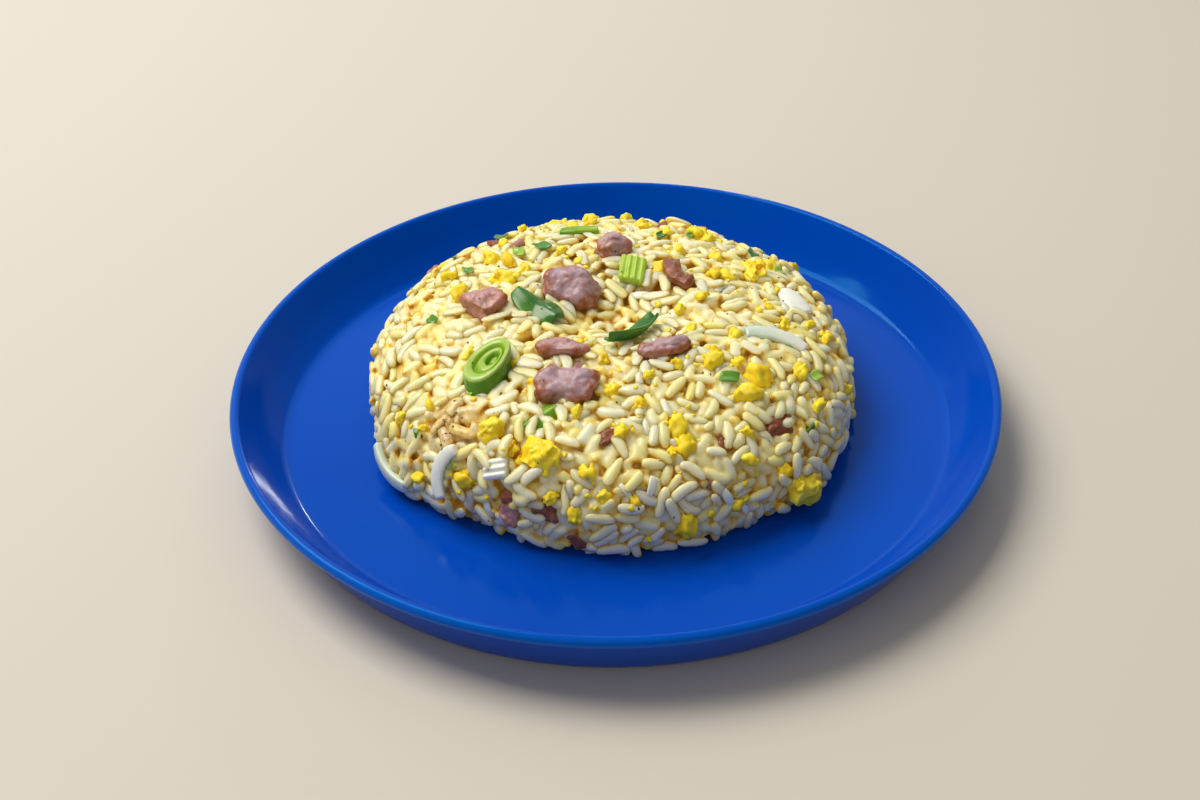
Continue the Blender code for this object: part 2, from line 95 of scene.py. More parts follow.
FRONT_TILT = math.radians(37)
FRONT_VIEW = Vector((0, math.cos(FRONT_TILT), -math.sin(FRONT_TILT)))
FRONT_UP = Vector((0, math.sin(FRONT_TILT), math.cos(FRONT_TILT)))


# Camera, light and floor

def add_camera():
    pitch, yaw, roll = 0.64239, -0.009914, -0.018304
    forward = Vector((math.sin(yaw) * math.cos(pitch), math.cos(yaw) * math.cos(pitch), -math.sin(pitch)))
    level = forward.cross(Vector((0, 0, 1))).normalized()
    upright = level.cross(forward)
    right = level * math.cos(roll) + upright * math.sin(roll)
    up = upright * math.cos(roll) - level * math.sin(roll)
    lens = bpy.data.cameras.new("camera")
    lens.sensor_width = 36
    lens.lens = 57
    lens.clip_start = 0.01
    camera = bpy.data.objects.new("camera", lens)
    camera.matrix_world = Matrix((right, up, -forward)).transposed().to_4x4()
    camera.location = (0, -0.42217, 0.32538)
    bpy.context.scene.collection.objects.link(camera)
    bpy.context.scene.camera = camera


def add_light(name, size, power, place, aim=(0, 0, 0.02), colour=(1, 1, 1)):
    lamp = bpy.data.lights.new(name, "AREA")
    lamp.shape = "RECTANGLE"
    lamp.size, lamp.size_y = size
    lamp.energy = power
    lamp.color = colour
    light = bpy.data.objects.new(name, lamp)
    light.location = place
    light.rotation_euler = (Vector(aim) - Vector(place)).to_track_quat("-Z", "Y").to_euler()
    bpy.context.scene.collection.objects.link(light)


def add_studio():
    scene = bpy.context.scene
    scene.view_settings.view_transform = "Standard"
    world = bpy.data.worlds.new("studio")
    world.use_nodes = True
    sky = world.node_tree.nodes["Background"].inputs
    sky["Color"].default_value = (1, 0.96, 0.88, 1)
    sky["Strength"].default_value = 0.3
    scene.world = world
    add_light("back_window", (1.9, 1.2), 4.5, (-0.25, 1.25, 1.0), colour=(0.74, 0.88, 1))
    add_light("back_lamp", (0.05, 0.05), 0.6, (0.16, 1.2, 0.42))
    add_light("ceiling", (0.85, 0.85), 18.5, (-0.62, 0.36, 1.15), colour=(1, 0.93, 0.82))
    add_light("front_fill", (1.0, 0.8), 1.2, (-0.6, -1.0, 0.7), colour=(1, 0.95, 0.86))


# Shapes

def named(name):
    """The piece that an operator has just added, under its name."""
    piece = bpy.context.active_object
    piece.name = name
    piece.data.name = name
    return piece


def deselect():
    bpy.ops.object.select_all(action="DESELECT")


def ball(name, segments, rings, radius):
    deselect()
    bpy.ops.mesh.primitive_uv_sphere_add(segments=segments, ring_count=rings, radius=radius, location=(0, 0, 0))
    return named(name)


def chosen_alone(piece):
    deselect()
    piece.select_set(True)
    bpy.context.view_layer.objects.active = piece


def arc(centre, radius, start, end, steps):
    points = []
    for step in range(steps + 1):
        angle = math.radians(start + (end - start) * step / steps)
        points.append((centre[0] + radius * math.cos(angle), centre[1] + radius * math.sin(angle)))
    return points


def turned(name, outline, sides):
    """A round piece raised ring by ring from a circle, with both ends closed."""
    deselect()
    radius, height = outline[0]
    bpy.ops.mesh.primitive_circle_add(vertices=sides, radius=radius, location=(0, 0, height), fill_type="NOTHING")
    piece = named(name)
    bpy.ops.object.transform_apply(location=True)
    bpy.ops.object.mode_set(mode="EDIT")
    bpy.ops.mesh.select_mode(type="EDGE")
    bpy.ops.mesh.select_all(action="SELECT")
    for wider, higher in outline[1:]:
        bpy.ops.mesh.extrude_region_move(TRANSFORM_OT_translate={"value": (0, 0, higher - height)})
        bpy.ops.transform.resize(value=(wider / radius, wider / radius, 1), center_override=(0, 0, higher))
        radius, height = wider, higher
    bpy.ops.mesh.select_all(action="SELECT")
    bpy.ops.mesh.fill_holes(sides=0)
    bpy.ops.mesh.select_all(action="SELECT")
    bpy.ops.mesh.normals_make_consistent(inside=False)
    bpy.ops.object.mode_set(mode="OBJECT")
    return piece


def apply_all(piece):
    chosen_alone(piece)
    for modifier in list(piece.modifiers):
        bpy.ops.object.modifier_apply(modifier=modifier.name)


def subdivide(piece, levels):
    modifier = piece.modifiers.new("round", "SUBSURF")
    modifier.levels = levels
    modifier.render_levels = levels
    apply_all(piece)


def soften(piece, times):
    modifier = piece.modifiers.new("soften", "SMOOTH")
    modifier.factor = 0.5
    modifier.iterations = times
    apply_all(piece)


def corners(piece):
    """The places of a piece's corners as rows."""
    places = np.empty(len(piece.data.vertices) * 3)
    piece.data.vertices.foreach_get("co", places)
    return places.reshape(-1, 3)


def set_corners(piece, places):
    piece.data.vertices.foreach_set("co", np.asarray(places, float).ravel())
    piece.data.update()


def corner_normals(piece):
    """The way out at each corner, summed in a fixed order, so that every run gives the same last digit."""
    facing = np.empty(len(piece.data.polygons) * 3)
    piece.data.polygons.foreach_get("normal", facing)
    sides = np.empty(len(piece.data.polygons), int)
    piece.data.polygons.foreach_get("loop_total", sides)
    owner = np.empty(len(piece.data.loops), int)
    piece.data.loops.foreach_get("vertex_index", owner)
    facing = np.repeat(facing.reshape(-1, 3), sides, axis=0)
    normals = np.stack([np.bincount(owner, column, len(piece.data.vertices)) for column in facing.T], 1)
    return normals / np.maximum(np.linalg.norm(normals, axis=1), 1e-9)[:, None]


def taken_apart(piece):
    """A piece's corners and faces; the piece itself is removed."""
    places = corners(piece)
    faces = [tuple(face.vertices) for face in piece.data.polygons]
    bpy.data.objects.remove(piece, do_unlink=True)
    return places, faces


def surface_tree(piece):
    return BVHTree.FromPolygons(
        [vertex.co for vertex in piece.data.vertices], [tuple(face.vertices) for face in piece.data.polygons])


def paint(piece, values):
    """Stores up to three values a corner for the materials to read; a value left out is 0."""
    colours = np.zeros((len(piece.data.vertices), 4))
    colours[:, 3] = 1
    for column, value in enumerate(values):
        colours[:, column] = value
    layer = piece.data.color_attributes.new(name="paint", type="FLOAT_COLOR", domain="POINT")
    layer.data.foreach_set("color", colours.ravel())


def finish(piece, material, slot, *nodes, angle=None):
    """Shades a piece, gives it its finish, and lets it ride and stand for its solids."""
    chosen_alone(piece)
    if angle:
        bpy.ops.object.shade_smooth_by_angle(angle=math.radians(angle))
    else:
        bpy.ops.object.shade_smooth()
    piece.data.materials.clear()
    piece.data.materials.append(material)
    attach(piece, "root")
    if nodes:
        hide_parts(*nodes)
    return piece


# The mound's skin

def mound_outline(samples=300):
    points = []
    for swing in np.linspace(math.pi / 2, 0, samples):
        radius = MOUND_RADIUS * max(math.cos(swing), 0) ** (2 / SHOULDER)
        height = MOUND_WIDEST + (MOUND_TOP - MOUND_WIDEST) * math.sin(swing) ** (2 / SHOULDER)
        points.append((radius, height - HOLLOW_DEPTH * math.exp(-((radius / HOLLOW_RADIUS) ** 2))))
    for share in np.linspace(0, 1, samples // 10)[1:]:
        radius = MOUND_RADIUS - (MOUND_RADIUS - MOUND_BASE_RADIUS) * share**2
        points.append((radius, MOUND_WIDEST - (MOUND_WIDEST - MOUND_BASE) * share))
    return np.array(points)


OUTLINE = mound_outline()
STEPS = np.hypot(*np.diff(OUTLINE, axis=0).T)
DOWN = np.concatenate([[0], np.cumsum(STEPS)])
SKIN_AREA = np.concatenate([[0], np.cumsum(STEPS * (OUTLINE[1:, 0] + OUTLINE[:-1, 0]) / 2)])
SLOPES = np.gradient(OUTLINE, axis=0)
SLOPES /= np.linalg.norm(SLOPES, axis=1)[:, None]


def section_at(down):
    return float(np.interp(down, DOWN, OUTLINE[:, 0])), float(np.interp(down, DOWN, OUTLINE[:, 1]))


def from_top_to_side(down, top, side):
    """A value that changes over the shoulder of the mound."""
    return np.interp(down, (45 * MM, 62 * MM), (top, side))


def lobe(azimuth, height):
    """How far the heap's foot reaches out or in; azimuth in degrees, one value or many."""
    reach = 0
    for middle, width, most in LOBES:
        apart = (azimuth - middle + 180) % 360 - 180
        reach = reach + most * np.exp(-((apart / width) ** 2))
    return reach * np.maximum(1 - (height / LOBE_HEIGHT) ** 2, 0)


def on_mound(azimuth, down):
    """Point on the mound's skin and its outward normal."""
    inner = section_at(max(down - 0.8 * MM, 0))
    outer = section_at(min(down + 0.8 * MM, DOWN[-1]))
    slope = Vector((outer[0] - inner[0], outer[1] - inner[1])).normalized()
    turn = math.radians(azimuth)
    away = Vector((math.cos(turn), math.sin(turn), 0))
    normal = away * -slope.y + Vector((0, 0, slope.x))
    radius, height = section_at(down)
    point = MOUND_CENTRE + away * (radius + float(lobe(azimuth, height))) + Vector((0, 0, height))
    swell = SWELL * noise.noise(point * 45) * min(1, (height - MOUND_BASE) / (6 * MM))
    return point + normal * swell, normal


def skin_depth(points):
    """Depth of many points under the mound's skin, and the skin's outward normals there."""
    flat = points[:, :2] - np.array(MOUND_CENTRE.xy)
    azimuth = np.arctan2(flat[:, 1], flat[:, 0])
    radius = np.hypot(*flat.T) - lobe(np.degrees(azimuth), np.clip(points[:, 2], 0, LOBE_HEIGHT))
    apart = (radius[:, None] - OUTLINE[None, ::3, 0]) ** 2 + (points[:, 2, None] - OUTLINE[None, ::3, 1]) ** 2
    nearest = apart.argmin(1) * 3
    slope = SLOPES[nearest]
    gap = np.stack([radius, points[:, 2]], 1) - OUTLINE[nearest]
    outward = np.stack([-slope[:, 1], slope[:, 0]], 1)
    normals = np.stack([outward[:, 0] * np.cos(azimuth), outward[:, 0] * np.sin(azimuth), outward[:, 1]], 1)
    return -(gap * outward).sum(1), normals, DOWN[nearest]


def lying(azimuth, down, turn, rise, tilt=0):
    """Where a piece lies on the mound: down in millimetres, turn as seen from the front, rise over the skin."""
    point, normal = on_mound(azimuth, down * MM)
    angle = math.radians(turn)
    seen = Vector((math.cos(angle), 0, 0)) + FRONT_UP * math.sin(angle)
    along = (seen - FRONT_VIEW * (seen.dot(normal) / FRONT_VIEW.dot(normal))).normalized()
    across = normal.cross(along)
    place = Matrix((along, across, normal)).transposed().to_4x4()
    return Matrix.Translation(point + normal * rise) @ place @ Matrix.Rotation(math.radians(tilt), 4, "X")


# Materials

def linear(value):
    share = value / 255
    return share / 12.92 if share <= 0.04045 else ((share + 0.055) / 1.055) ** 2.4


def colour(red, green, blue):
    return (linear(red), linear(green), linear(blue), 1)


def add(tree, kind, sockets=None, **settings):
    """A node with its settings, whose sockets take values or the outputs of other nodes."""
    made = tree.nodes.new(kind)
    for key, value in settings.items():
        setattr(made, key, value)
    for key, value in (sockets or {}).items():
        if isinstance(value, bpy.types.NodeSocket):
            tree.links.new(value, made.inputs[key])
        else:
            made.inputs[key].default_value = value
    return made


def ramp(tree, factor, *stops):
    """A colour ramp through (place, colour) stops."""
    made = add(tree, "ShaderNodeValToRGB", {"Fac": factor})
    elements = made.color_ramp.elements
    elements[0].position, elements[0].color = stops[0]
    elements[1].position, elements[1].color = stops[-1]
    for place, tint in stops[1:-1]:
        elements.new(place).color = tint
    return made.outputs["Color"]


def mix(tree, factor, first, second, blend="MIX"):
    made = add(tree, "ShaderNodeMix", {0: factor, 6: first, 7: second}, data_type="RGBA", blend_type=blend)
    return made.outputs[2]


def maths(tree, operation, first, second=0.0, clamp=False):
    made = add(tree, "ShaderNodeMath", {0: first, 1: second}, operation=operation, use_clamp=clamp)
    return made.outputs[0]


def noise_at(tree, vector, scale, detail=2.0, roughness=0.5):
    made = add(tree, "ShaderNodeTexNoise", {"Vector": vector, "Scale": scale, "Detail": detail, "Roughness": roughness})
    return made.outputs["Fac"]


def mottled(tree, value, pattern, reach):
    """A value moved up and down by a pattern."""
    return maths(tree, "ADD", value, maths(tree, "MULTIPLY", maths(tree, "SUBTRACT", pattern, 0.5), reach))


def spread_over(tree, value, lowest, highest, least=0.0, most=1.0):
    made = add(tree, "ShaderNodeMapRange", {
        "Value": value, "From Min": lowest, "From Max": highest, "To Min": least, "To Max": most})
    return made.outputs[0]


def painted(tree):
    """The three stored values of a piece."""
    stored = add(tree, "ShaderNodeAttribute", attribute_name="paint")
    return tuple(add(tree, "ShaderNodeSeparateColor", {"Color": stored.outputs["Color"]}).outputs)


def new_group(name, inputs, outputs):
    group = bpy.data.node_groups.new(name, "ShaderNodeTree")
    for label, kind in inputs:
        group.interface.new_socket(label, in_out="INPUT", socket_type=kind)
    for label, kind in outputs:
        group.interface.new_socket(label, in_out="OUTPUT", socket_type=kind)
    return group, group.nodes.new("NodeGroupInput").outputs, group.nodes.new("NodeGroupOutput").inputs


def make_moist_skin():
    """Cooked food's skin: fine wrinkles for the bump and patches of oil for the roughness."""
    group, given, put = new_group(
        "moist_skin",
        (("Place", "NodeSocketVector"), ("Wrinkles per metre", "NodeSocketFloat"),
         ("Driest", "NodeSocketFloat"), ("Oiliest", "NodeSocketFloat")),
        (("Roughness", "NodeSocketFloat"), ("Height", "NodeSocketFloat")),
    )
    wrinkles = noise_at(group, given["Place"], given["Wrinkles per metre"], 3, 0.6)
    patches = noise_at(group, given["Place"], 260.0, 2)
    group.links.new(spread_over(group, patches, 0.35, 0.65, given["Oiliest"], given["Driest"]), put["Roughness"])
    group.links.new(wrinkles, put["Height"])
    return group


def make_stalk_lines():
    """Fine parallel fibres along a piece's length, from its own map."""
    group, given, put = new_group(
        "stalk_lines",
        (("Lines", "NodeSocketFloat"), ("Waver", "NodeSocketFloat")), (("Lines", "NodeSocketFloat"),))
    flat = add(group, "ShaderNodeUVMap").outputs[0]
    parts = add(group, "ShaderNodeSeparateXYZ", {0: flat})
    waver = maths(group, "MULTIPLY", noise_at(group, flat, 3.0), given["Waver"])
    across = maths(group, "ADD", maths(group, "MULTIPLY", parts.outputs[1], given["Lines"]), waver)
    wave = maths(group, "SINE", maths(group, "MULTIPLY", across, 2 * math.pi))
    group.links.new(spread_over(group, wave, 0.1, 1.0), put["Lines"])
    return group


def new_material(name, **shader_values):
    made = bpy.data.materials.new(name)
    made.use_nodes = True
    tree = made.node_tree
    shader = tree.nodes["Principled BSDF"]
    for key, value in shader_values.items():
        shader.inputs[key.replace("_", " ")].default_value = value
    place = add(tree, "ShaderNodeTexCoord").outputs["Object"]
    return made, tree, shader, place


def bump(tree, shader, height, strength, distance):
    made = add(tree, "ShaderNodeBump", {"Height": height, "Strength": strength, "Distance": distance})
    tree.links.new(made.outputs[0], shader.inputs["Normal"])


def moist(tree, shader, place, group, wrinkles, driest, oiliest, strength=0.3, distance=0.2 * MM):
    made = add(tree, "ShaderNodeGroup", {
        "Place": place, "Wrinkles per metre": wrinkles, "Driest": driest, "Oiliest": oiliest}, node_tree=group)
    tree.links.new(made.outputs["Roughness"], shader.inputs["Roughness"])
    bump(tree, shader, made.outputs["Height"], strength, distance)


def glaze_material():
    made, tree, shader, place = new_material(
        "cobalt_glaze", IOR=1.4, Specular_IOR_Level=0.3, Specular_Tint=(0.0, 0.6, 1.0, 1))
    cloud = noise_at(tree, place, 9.0, 3)
    tint = ramp(tree, cloud, (0.3, colour(0, 65, 179)), (0.7, colour(0, 73, 191)))
    parts = add(tree, "ShaderNodeSeparateXYZ", {0: place}).outputs
    out = maths(tree, "ADD", maths(tree, "POWER", parts[0], 2.0), maths(tree, "POWER", parts[1], 2.0))
    # Lighter blue over the lip: the glaze thins there, and partly a painted highlight
    lip_glaze_and_highlight = spread_over(tree, maths(tree, "POWER", out, 0.5), 0.1030, 0.1045)
    tint = mix(tree, maths(tree, "MULTIPLY", lip_glaze_and_highlight, 0.45), tint, colour(20, 104, 214))
    tree.links.new(tint, shader.inputs["Base Color"])
    smudge = noise_at(tree, place, 60.0, 4, 0.65)
    tree.links.new(spread_over(tree, smudge, 0.35, 0.75, 0.1, 0.2), shader.inputs["Roughness"])
    bump(tree, shader, noise_at(tree, place, 110.0, 2), 0.05, 0.4 * MM)
    return made


def rice_material(name, skin, reach, spread):
    made, tree, shader, place = new_material(
        name, Subsurface_Weight=1.0, Subsurface_Scale=reach, Subsurface_Radius=spread, IOR=1.42, Emission_Strength=0.05)
    tone, painted_gap_shade, toast = painted(tree)
    tone = mottled(tree, tone, noise_at(tree, place, 420.0, 2), 0.3)
    # The lowest tones, mostly on grains low on the heap, are cool white: partly a painted reflection of the blue plate
    tint = ramp(
        tree, tone, (0.0, colour(222, 232, 220)), (0.25, colour(238, 242, 216)), (0.5, colour(246, 240, 186)),
        (0.75, colour(247, 232, 146)), (1.0, colour(238, 206, 90)))
    # rim: the painted amber shade of the gaps and the grains' sides, used where the painted shade mask is high
    rim = ramp(tree, painted_gap_shade, (0.0, colour(242, 224, 116)), (0.5, colour(228, 192, 70)), (1.0, colour(172, 112, 24)))
    # Painted light: surfaces seen edge-on are also painted amber, as light shining through thin rice
    edge = add(tree, "ShaderNodeLayerWeight", {"Blend": 0.5}).outputs["Facing"]
    share = maths(tree, "ADD", maths(tree, "MULTIPLY", painted_gap_shade, 1.3), maths(tree, "MULTIPLY", edge, 0.42), clamp=True)
    tint = mix(tree, share, tint, rim)
    # Painted glow: the shaded gaps give off a faint amber light (Emission Strength 0.05 above), a stand-in for light
    # carried through the rice
    painted_gap_glow = ramp(tree, painted_gap_shade, (0.1, colour(0, 0, 0)), (1.0, colour(255, 200, 70)))
    tree.links.new(painted_gap_glow, shader.inputs["Emission Color"])
    speckle = noise_at(tree, place, 900.0, 3, 0.7)
    burnt = ramp(
        tree, speckle, (0.36, colour(140, 84, 26)), (0.5, colour(206, 150, 62)), (0.66, colour(240, 200, 112)))
    tint = mix(tree, toast, tint, burnt)
    tree.links.new(tint, shader.inputs["Base Color"])
    moist(tree, shader, place, skin, 900.0, 0.38, 0.16, 0.2, 0.12 * MM)
    return made


def ham_material(skin):
    made, tree, shader, place = new_material(
        "ham", Subsurface_Weight=0.3, Subsurface_Scale=1.2 * MM, Subsurface_Radius=(1.0, 0.5, 0.35))
    rim, shade, _ = painted(tree)
    rim = mottled(tree, rim, noise_at(tree, place, 420.0, 4, 0.6), 1.7)
    tint = ramp(
        tree, rim, (0.0, colour(176, 148, 160)), (0.2, colour(170, 122, 120)), (0.42, colour(158, 92, 58)),
        (0.85, colour(108, 50, 26)))
    tint = mix(tree, maths(tree, "MULTIPLY", shade, 0.7), tint, colour(206, 138, 104))
    fat = add(tree, "ShaderNodeTexVoronoi", {"Vector": place, "Scale": 520.0}).outputs["Distance"]
    flecks = spread_over(tree, fat, 0.22, 0.05)
    tint = mix(tree, maths(tree, "MULTIPLY", flecks, 0.3), tint, colour(214, 176, 160))
    tree.links.new(tint, shader.inputs["Base Color"])
    moist(tree, shader, place, skin, 1100.0, 0.5, 0.24, 0.6, 0.3 * MM)
    return made


def egg_material(skin):
    made, tree, shader, place = new_material(
        "scrambled_egg", Subsurface_Weight=0.3, Subsurface_Scale=1.0 * MM, Subsurface_Radius=(1.0, 0.7, 0.15))
    # First value: on the lumps, how far a corner sits in a hollow, painted deeper orange as painted shade; on crumbs
    # and dust, a random tone
    hollow_shade_and_tone, _, _ = painted(tree)
    patch = noise_at(tree, place, 330.0, 3)
    patch = maths(tree, "ADD", patch, maths(tree, "MULTIPLY", hollow_shade_and_tone, 0.35))
    tint = ramp(
        tree, patch, (0.35, colour(255, 236, 60)), (0.62, colour(255, 222, 20)), (0.95, colour(248, 192, 6)))
    tree.links.new(tint, shader.inputs["Base Color"])
    moist(tree, shader, place, skin, 1300.0, 0.6, 0.35, 0.5, 0.25 * MM)
    return made


def stalk_material(name, stops, skin, lines, count, waver, strength, line_colour, subsurface=0.3, rough=(0.35, 0.2),
                   spread=(0.7, 1.0, 0.4)):
    """Scallion and onion: a tint over the painted value, with fine fibres along the piece."""
    made, tree, shader, place = new_material(
        name, Subsurface_Weight=subsurface, Subsurface_Scale=1.2 * MM, Subsurface_Radius=spread)
    tone, pale, _ = painted(tree)
    tint = ramp(tree, mottled(tree, tone, noise_at(tree, place, 300.0, 2), 0.4), *stops)
    fibres = add(tree, "ShaderNodeGroup", {"Lines": count, "Waver": waver}, node_tree=lines)
    tint = mix(tree, maths(tree, "MULTIPLY", fibres.outputs[0], strength), tint, line_colour)
    tint = mix(tree, pale, tint, colour(216, 232, 190))
    tree.links.new(tint, shader.inputs["Base Color"])
    moist(tree, shader, place, skin, 600.0, rough[0], rough[1], 0.3, 0.15 * MM)
    return made


def pepper_material():
    made, tree, shader, place = new_material("pepper", Roughness=0.6)
    tree.links.new(
        ramp(tree, noise_at(tree, place, 3000.0), (0.3, colour(22, 16, 12)), (0.7, colour(70, 46, 26))),
        shader.inputs["Base Color"])
    return made


# The plate

def make_plate(glaze):
    bead_centre = (LIP_RADIUS - BEAD_RADIUS, LIP_HEIGHT - BEAD_RADIUS)
    fold_start = FLOOR_RADIUS - FOLD_RADIUS * math.tan(math.radians(WALL_SLOPE / 2))
    outline = [
        (20 * MM, FLOOR_HEIGHT), (60 * MM, FLOOR_HEIGHT), (84 * MM, FLOOR_HEIGHT),
        *arc((fold_start, FLOOR_HEIGHT + FOLD_RADIUS), FOLD_RADIUS, -90, WALL_SLOPE - 90, 8),
        (95 * MM, 7.6 * MM), (99 * MM, 12.4 * MM),
        *arc(bead_centre, BEAD_RADIUS, 148, -62, 12),
        (LIP_RADIUS - WALL_TOP_INSET, LIP_HEIGHT - WALL_TOP_DROP),
        (100 * MM, 9.6 * MM), (98 * MM, 5.2 * MM),
        (WALL_FOOT_RADIUS + 0.8 * MM, 2.2 * MM), (WALL_FOOT_RADIUS + 0.3 * MM, 1.3 * MM),
        (WALL_FOOT_RADIUS - 0.6 * MM, 0.4 * MM), (FOOT_OUTER + 0.8 * MM, 0.08 * MM), (FOOT_OUTER, 0),
        (FOOT_INNER + 0.8 * MM, 0), (FOOT_INNER, FOOT_HEIGHT), (60 * MM, FOOT_HEIGHT), (20 * MM, FOOT_HEIGHT),
    ]
    plate = turned("glazed_plate", outline, PLATE_SIDES)
    finish(plate, glaze, "glaze", "plate", angle=40)


# Lumps of ham and egg

def lump(name, size, squareness, unevenness, seed, pinch=0.0):
    """A ball squared and made uneven, as the solid is, but finer."""
    piece = ball(name, 72, 48, 1)
    places = []
    for vertex in piece.data.vertices:
        way = vertex.co.normalized()
        reach = sum(abs(part) ** squareness for part in way) ** (-1 / squareness)
        reach *= 1 + unevenness * noise.noise(way * 2.1 + Vector((seed * 3.7, 0, 0)))
        waist = 1 - pinch * math.exp(-((way.x / 0.3) ** 2))
        places.append((
            way.x * reach * size[0] * MM / 2,
            way.y * reach * waist * size[1] * MM / 2,
            way.z * reach * (0.5 + 0.5 * waist) * size[2] * MM / 2,
        ))
    set_corners(piece, places)
    return piece


def chop(piece, seed, cuts, reach):
    """Flattens a piece by a few cuts, each at about this share of its reach."""
    draw = random.Random(seed)
    places = corners(piece)
    for _ in range(cuts):
        way = np.array([draw.gauss(0, 1) for _ in range(3)])
        way /= np.linalg.norm(way)
        out = places @ way
        limit = out.max() * draw.uniform(reach - 0.08, reach + 0.08)
        places -= way * np.maximum(out - limit, 0)[:, None]
    set_corners(piece, places)


def work_surface(piece, layers, seed):
    """Moves a piece's corners along their normals by layers of (kind, per metre, millimetres); returns the moves."""
    places = corners(piece)
    normals = corner_normals(piece)
    moves = np.zeros(len(places))
    shift = Vector((seed * 1.7, seed * 0.9, 0))
    for kind, scale, reach in layers:
        for index, place in enumerate(places):
            point = Vector(place) * scale + shift
            if kind == "swell":
                value = noise.noise(point)
            elif kind == "crease":
                value = abs(noise.noise(point)) * 2 - 0.6
            else:  # knob
                value = 0.45 - 1.5 * noise.voronoi(point)[0][0] ** 2
            moves[index] += value * reach * MM
    set_corners(piece, places + normals * moves[:, None])
    return moves


HAM_LAYERS = (("swell", 170, 1.7), ("knob", 260, 0.35), ("crease", 300, 0.45), ("swell", 800, 0.25))
EGG_LAYERS = (("swell", 220, 1.0), ("knob", 460, 0.5), ("knob", 1000, 0.34))

# name, size, squareness, unevenness, seed, pinch, place on the mound, how brown all over
HAM_DICE = (
    ("ham_1", (15.6, 12.6, 7), 3, 0.10, 1, 0, (133, 16, -12, 0.2 * MM, 6), 0.0),
    ("ham_2", (15.8, 12, 8), 3.2, 0.16, 2, 0.2, (252, 38, -4, -0.2 * MM), 0.0),
    ("ham_3", (12, 10.6, 7), 3, 0.22, 3, 0, (176, 35.2, -30, 0), 0.55),
    ("ham_4", (10, 8, 6.4), 3, 0.2, 4, 0, (88, 29, 15, 0.2 * MM), 0.2),
    ("ham_6", (14, 7.6, 3.6), 3, 0.2, 6, 0, (238, 25, -8, 0.4 * MM, -14), 0.35),
    ("ham_7", (14, 6.6, 4.4), 3.4, 0.2, 7, 0.12, (305, 26, 18, 0.4 * MM, 8), 0.1),
    ("ham_8", (8.4, 7.4, 5), 2.6, 0.25, 8, 0, (246, 79, 60, -0.8 * MM), 0.5),
    ("ham_9", (12, 9, 6), 3, 0.2, 9, 0, (66, 73, 15, -0.6 * MM), 0.1),
    ("ham_10", (11, 9, 6), 3, 0.2, 10, 0, (141, 74, -40, -0.6 * MM), 0.4),
)
EGG_LUMPS = (
    ("egg_1", (11, 9.4, 7), 2.6, 0.45, 21, (251.5, 60, -20, 0)),
    ("egg_2", (12.4, 8.4, 6.4), 3.4, 0.3, 22, (316.6, 81, -12, 0.8 * MM)),
    ("egg_3", (9.4, 8.4, 6), 2.8, 0.4, 23, (27, 47, -40, 0)),
    ("egg_4", (6.8, 6, 5.4), 2.4, 0.3, 24, (237, 57.5, 10, 0.4 * MM)),
    ("egg_5", (11, 8, 6), 2.6, 0.4, 25, (106, 71, 20, -0.4 * MM)),
)


def make_ham(material):
    made = []
    for node, size, squareness, unevenness, seed, pinch, place, brown in HAM_DICE:
        piece = lump("diced_" + node, size, squareness, unevenness, seed, pinch)
        chop(piece, seed, 4, 0.84)
        soften(piece, 4)
        work_surface(piece, HAM_LAYERS, seed)
        local = corners(piece) / (np.array(size) * MM / 2)
        rim = np.clip(np.maximum(np.hypot(local[:, 0], local[:, 1]) - 0.7, 0.1 - local[:, 2]), 0, 1)
        paint(piece, (rim, brown))
        piece.data.transform(lying(*place))
        made.append(finish(piece, material, "ham", node))
    return made


def make_egg(material):
    made = []
    for node, size, squareness, unevenness, seed, place in EGG_LUMPS:
        piece = lump("scrambled_" + node, size, squareness, unevenness, seed)
        chop(piece, seed, 9, 0.76)
        soften(piece, 4)
        moves = work_surface(piece, EGG_LAYERS, seed)
        # How deep each corner sits in a hollow, for the material's painted shade
        paint(piece, (np.clip(-moves / MM, 0, 1),))
        piece.data.transform(lying(*place))
        made.append(finish(piece, material, "egg", node))
    return made


# Strips, leaves and ribbed blocks

def sheet(name, columns, rows, thickness, form, levels=1, offset=0.0):
    """A flat grid formed in the round, thickened and rounded. form takes (along, across) from -1 to 1."""
    deselect()
    bpy.ops.mesh.primitive_grid_add(x_subdivisions=columns, y_subdivisions=rows, size=2, location=(0, 0, 0))
    piece = named(name)
    set_corners(piece, [form(vertex.co.x, vertex.co.y) for vertex in piece.data.vertices])
    wall = piece.modifiers.new("wall", "SOLIDIFY")
    wall.thickness = thickness * MM
    wall.offset = offset
    apply_all(piece)
    subdivide(piece, levels)
    return piece


def strip_form(length, width, bend, arch=0.0, taper=0.35, crown=0.12):
    turn = math.radians(bend) or 0.001
    radius = length / turn

    def form(along, across):
        angle = turn * along / 2
        size = 1 - taper * abs(along) ** 3
        out = radius - across * width / 2 * size
        lift = -arch * along * along + crown * width * (1 - across * across)
        return (out * math.sin(angle) * MM, (radius - out * math.cos(angle)) * MM, lift * MM)
    return form


def leaf_form(length, width, fold, wave, curl):
    def form(along, across):
        narrow = 1 - 0.55 * abs(along) ** 2.5
        height = fold * abs(across) + wave * abs(2 * along + 0.8 * across) + curl * along * along
        return (along * length / 2 * MM, across * narrow * width / 2 * MM, height * MM)
    return form


def ribbed_form(length, width, height, ribs, slant):
    def form(along, across):
        rib = 0.5 - 0.5 * math.cos(2 * math.pi * ribs * (across + 1) / 2)
        lift = height * (0.28 + 0.12 * rib + 0.12 * math.cos(across * math.pi / 2))
        return ((along * length / 2 + slant * across / 2) * MM, across * width / 2 * MM, lift * MM)
    return form


def place_sheet(piece, place, material, slot, node, tone, pale=lambda share: 0):
    """Paints a sheet from its own shape, lays it on the mound and finishes it."""
    local = corners(piece)
    share = local / np.abs(local).max(0)
    paint(piece, (tone(share), pale(share)))
    piece.data.transform(lying(*place))
    return finish(piece, material, slot, node)


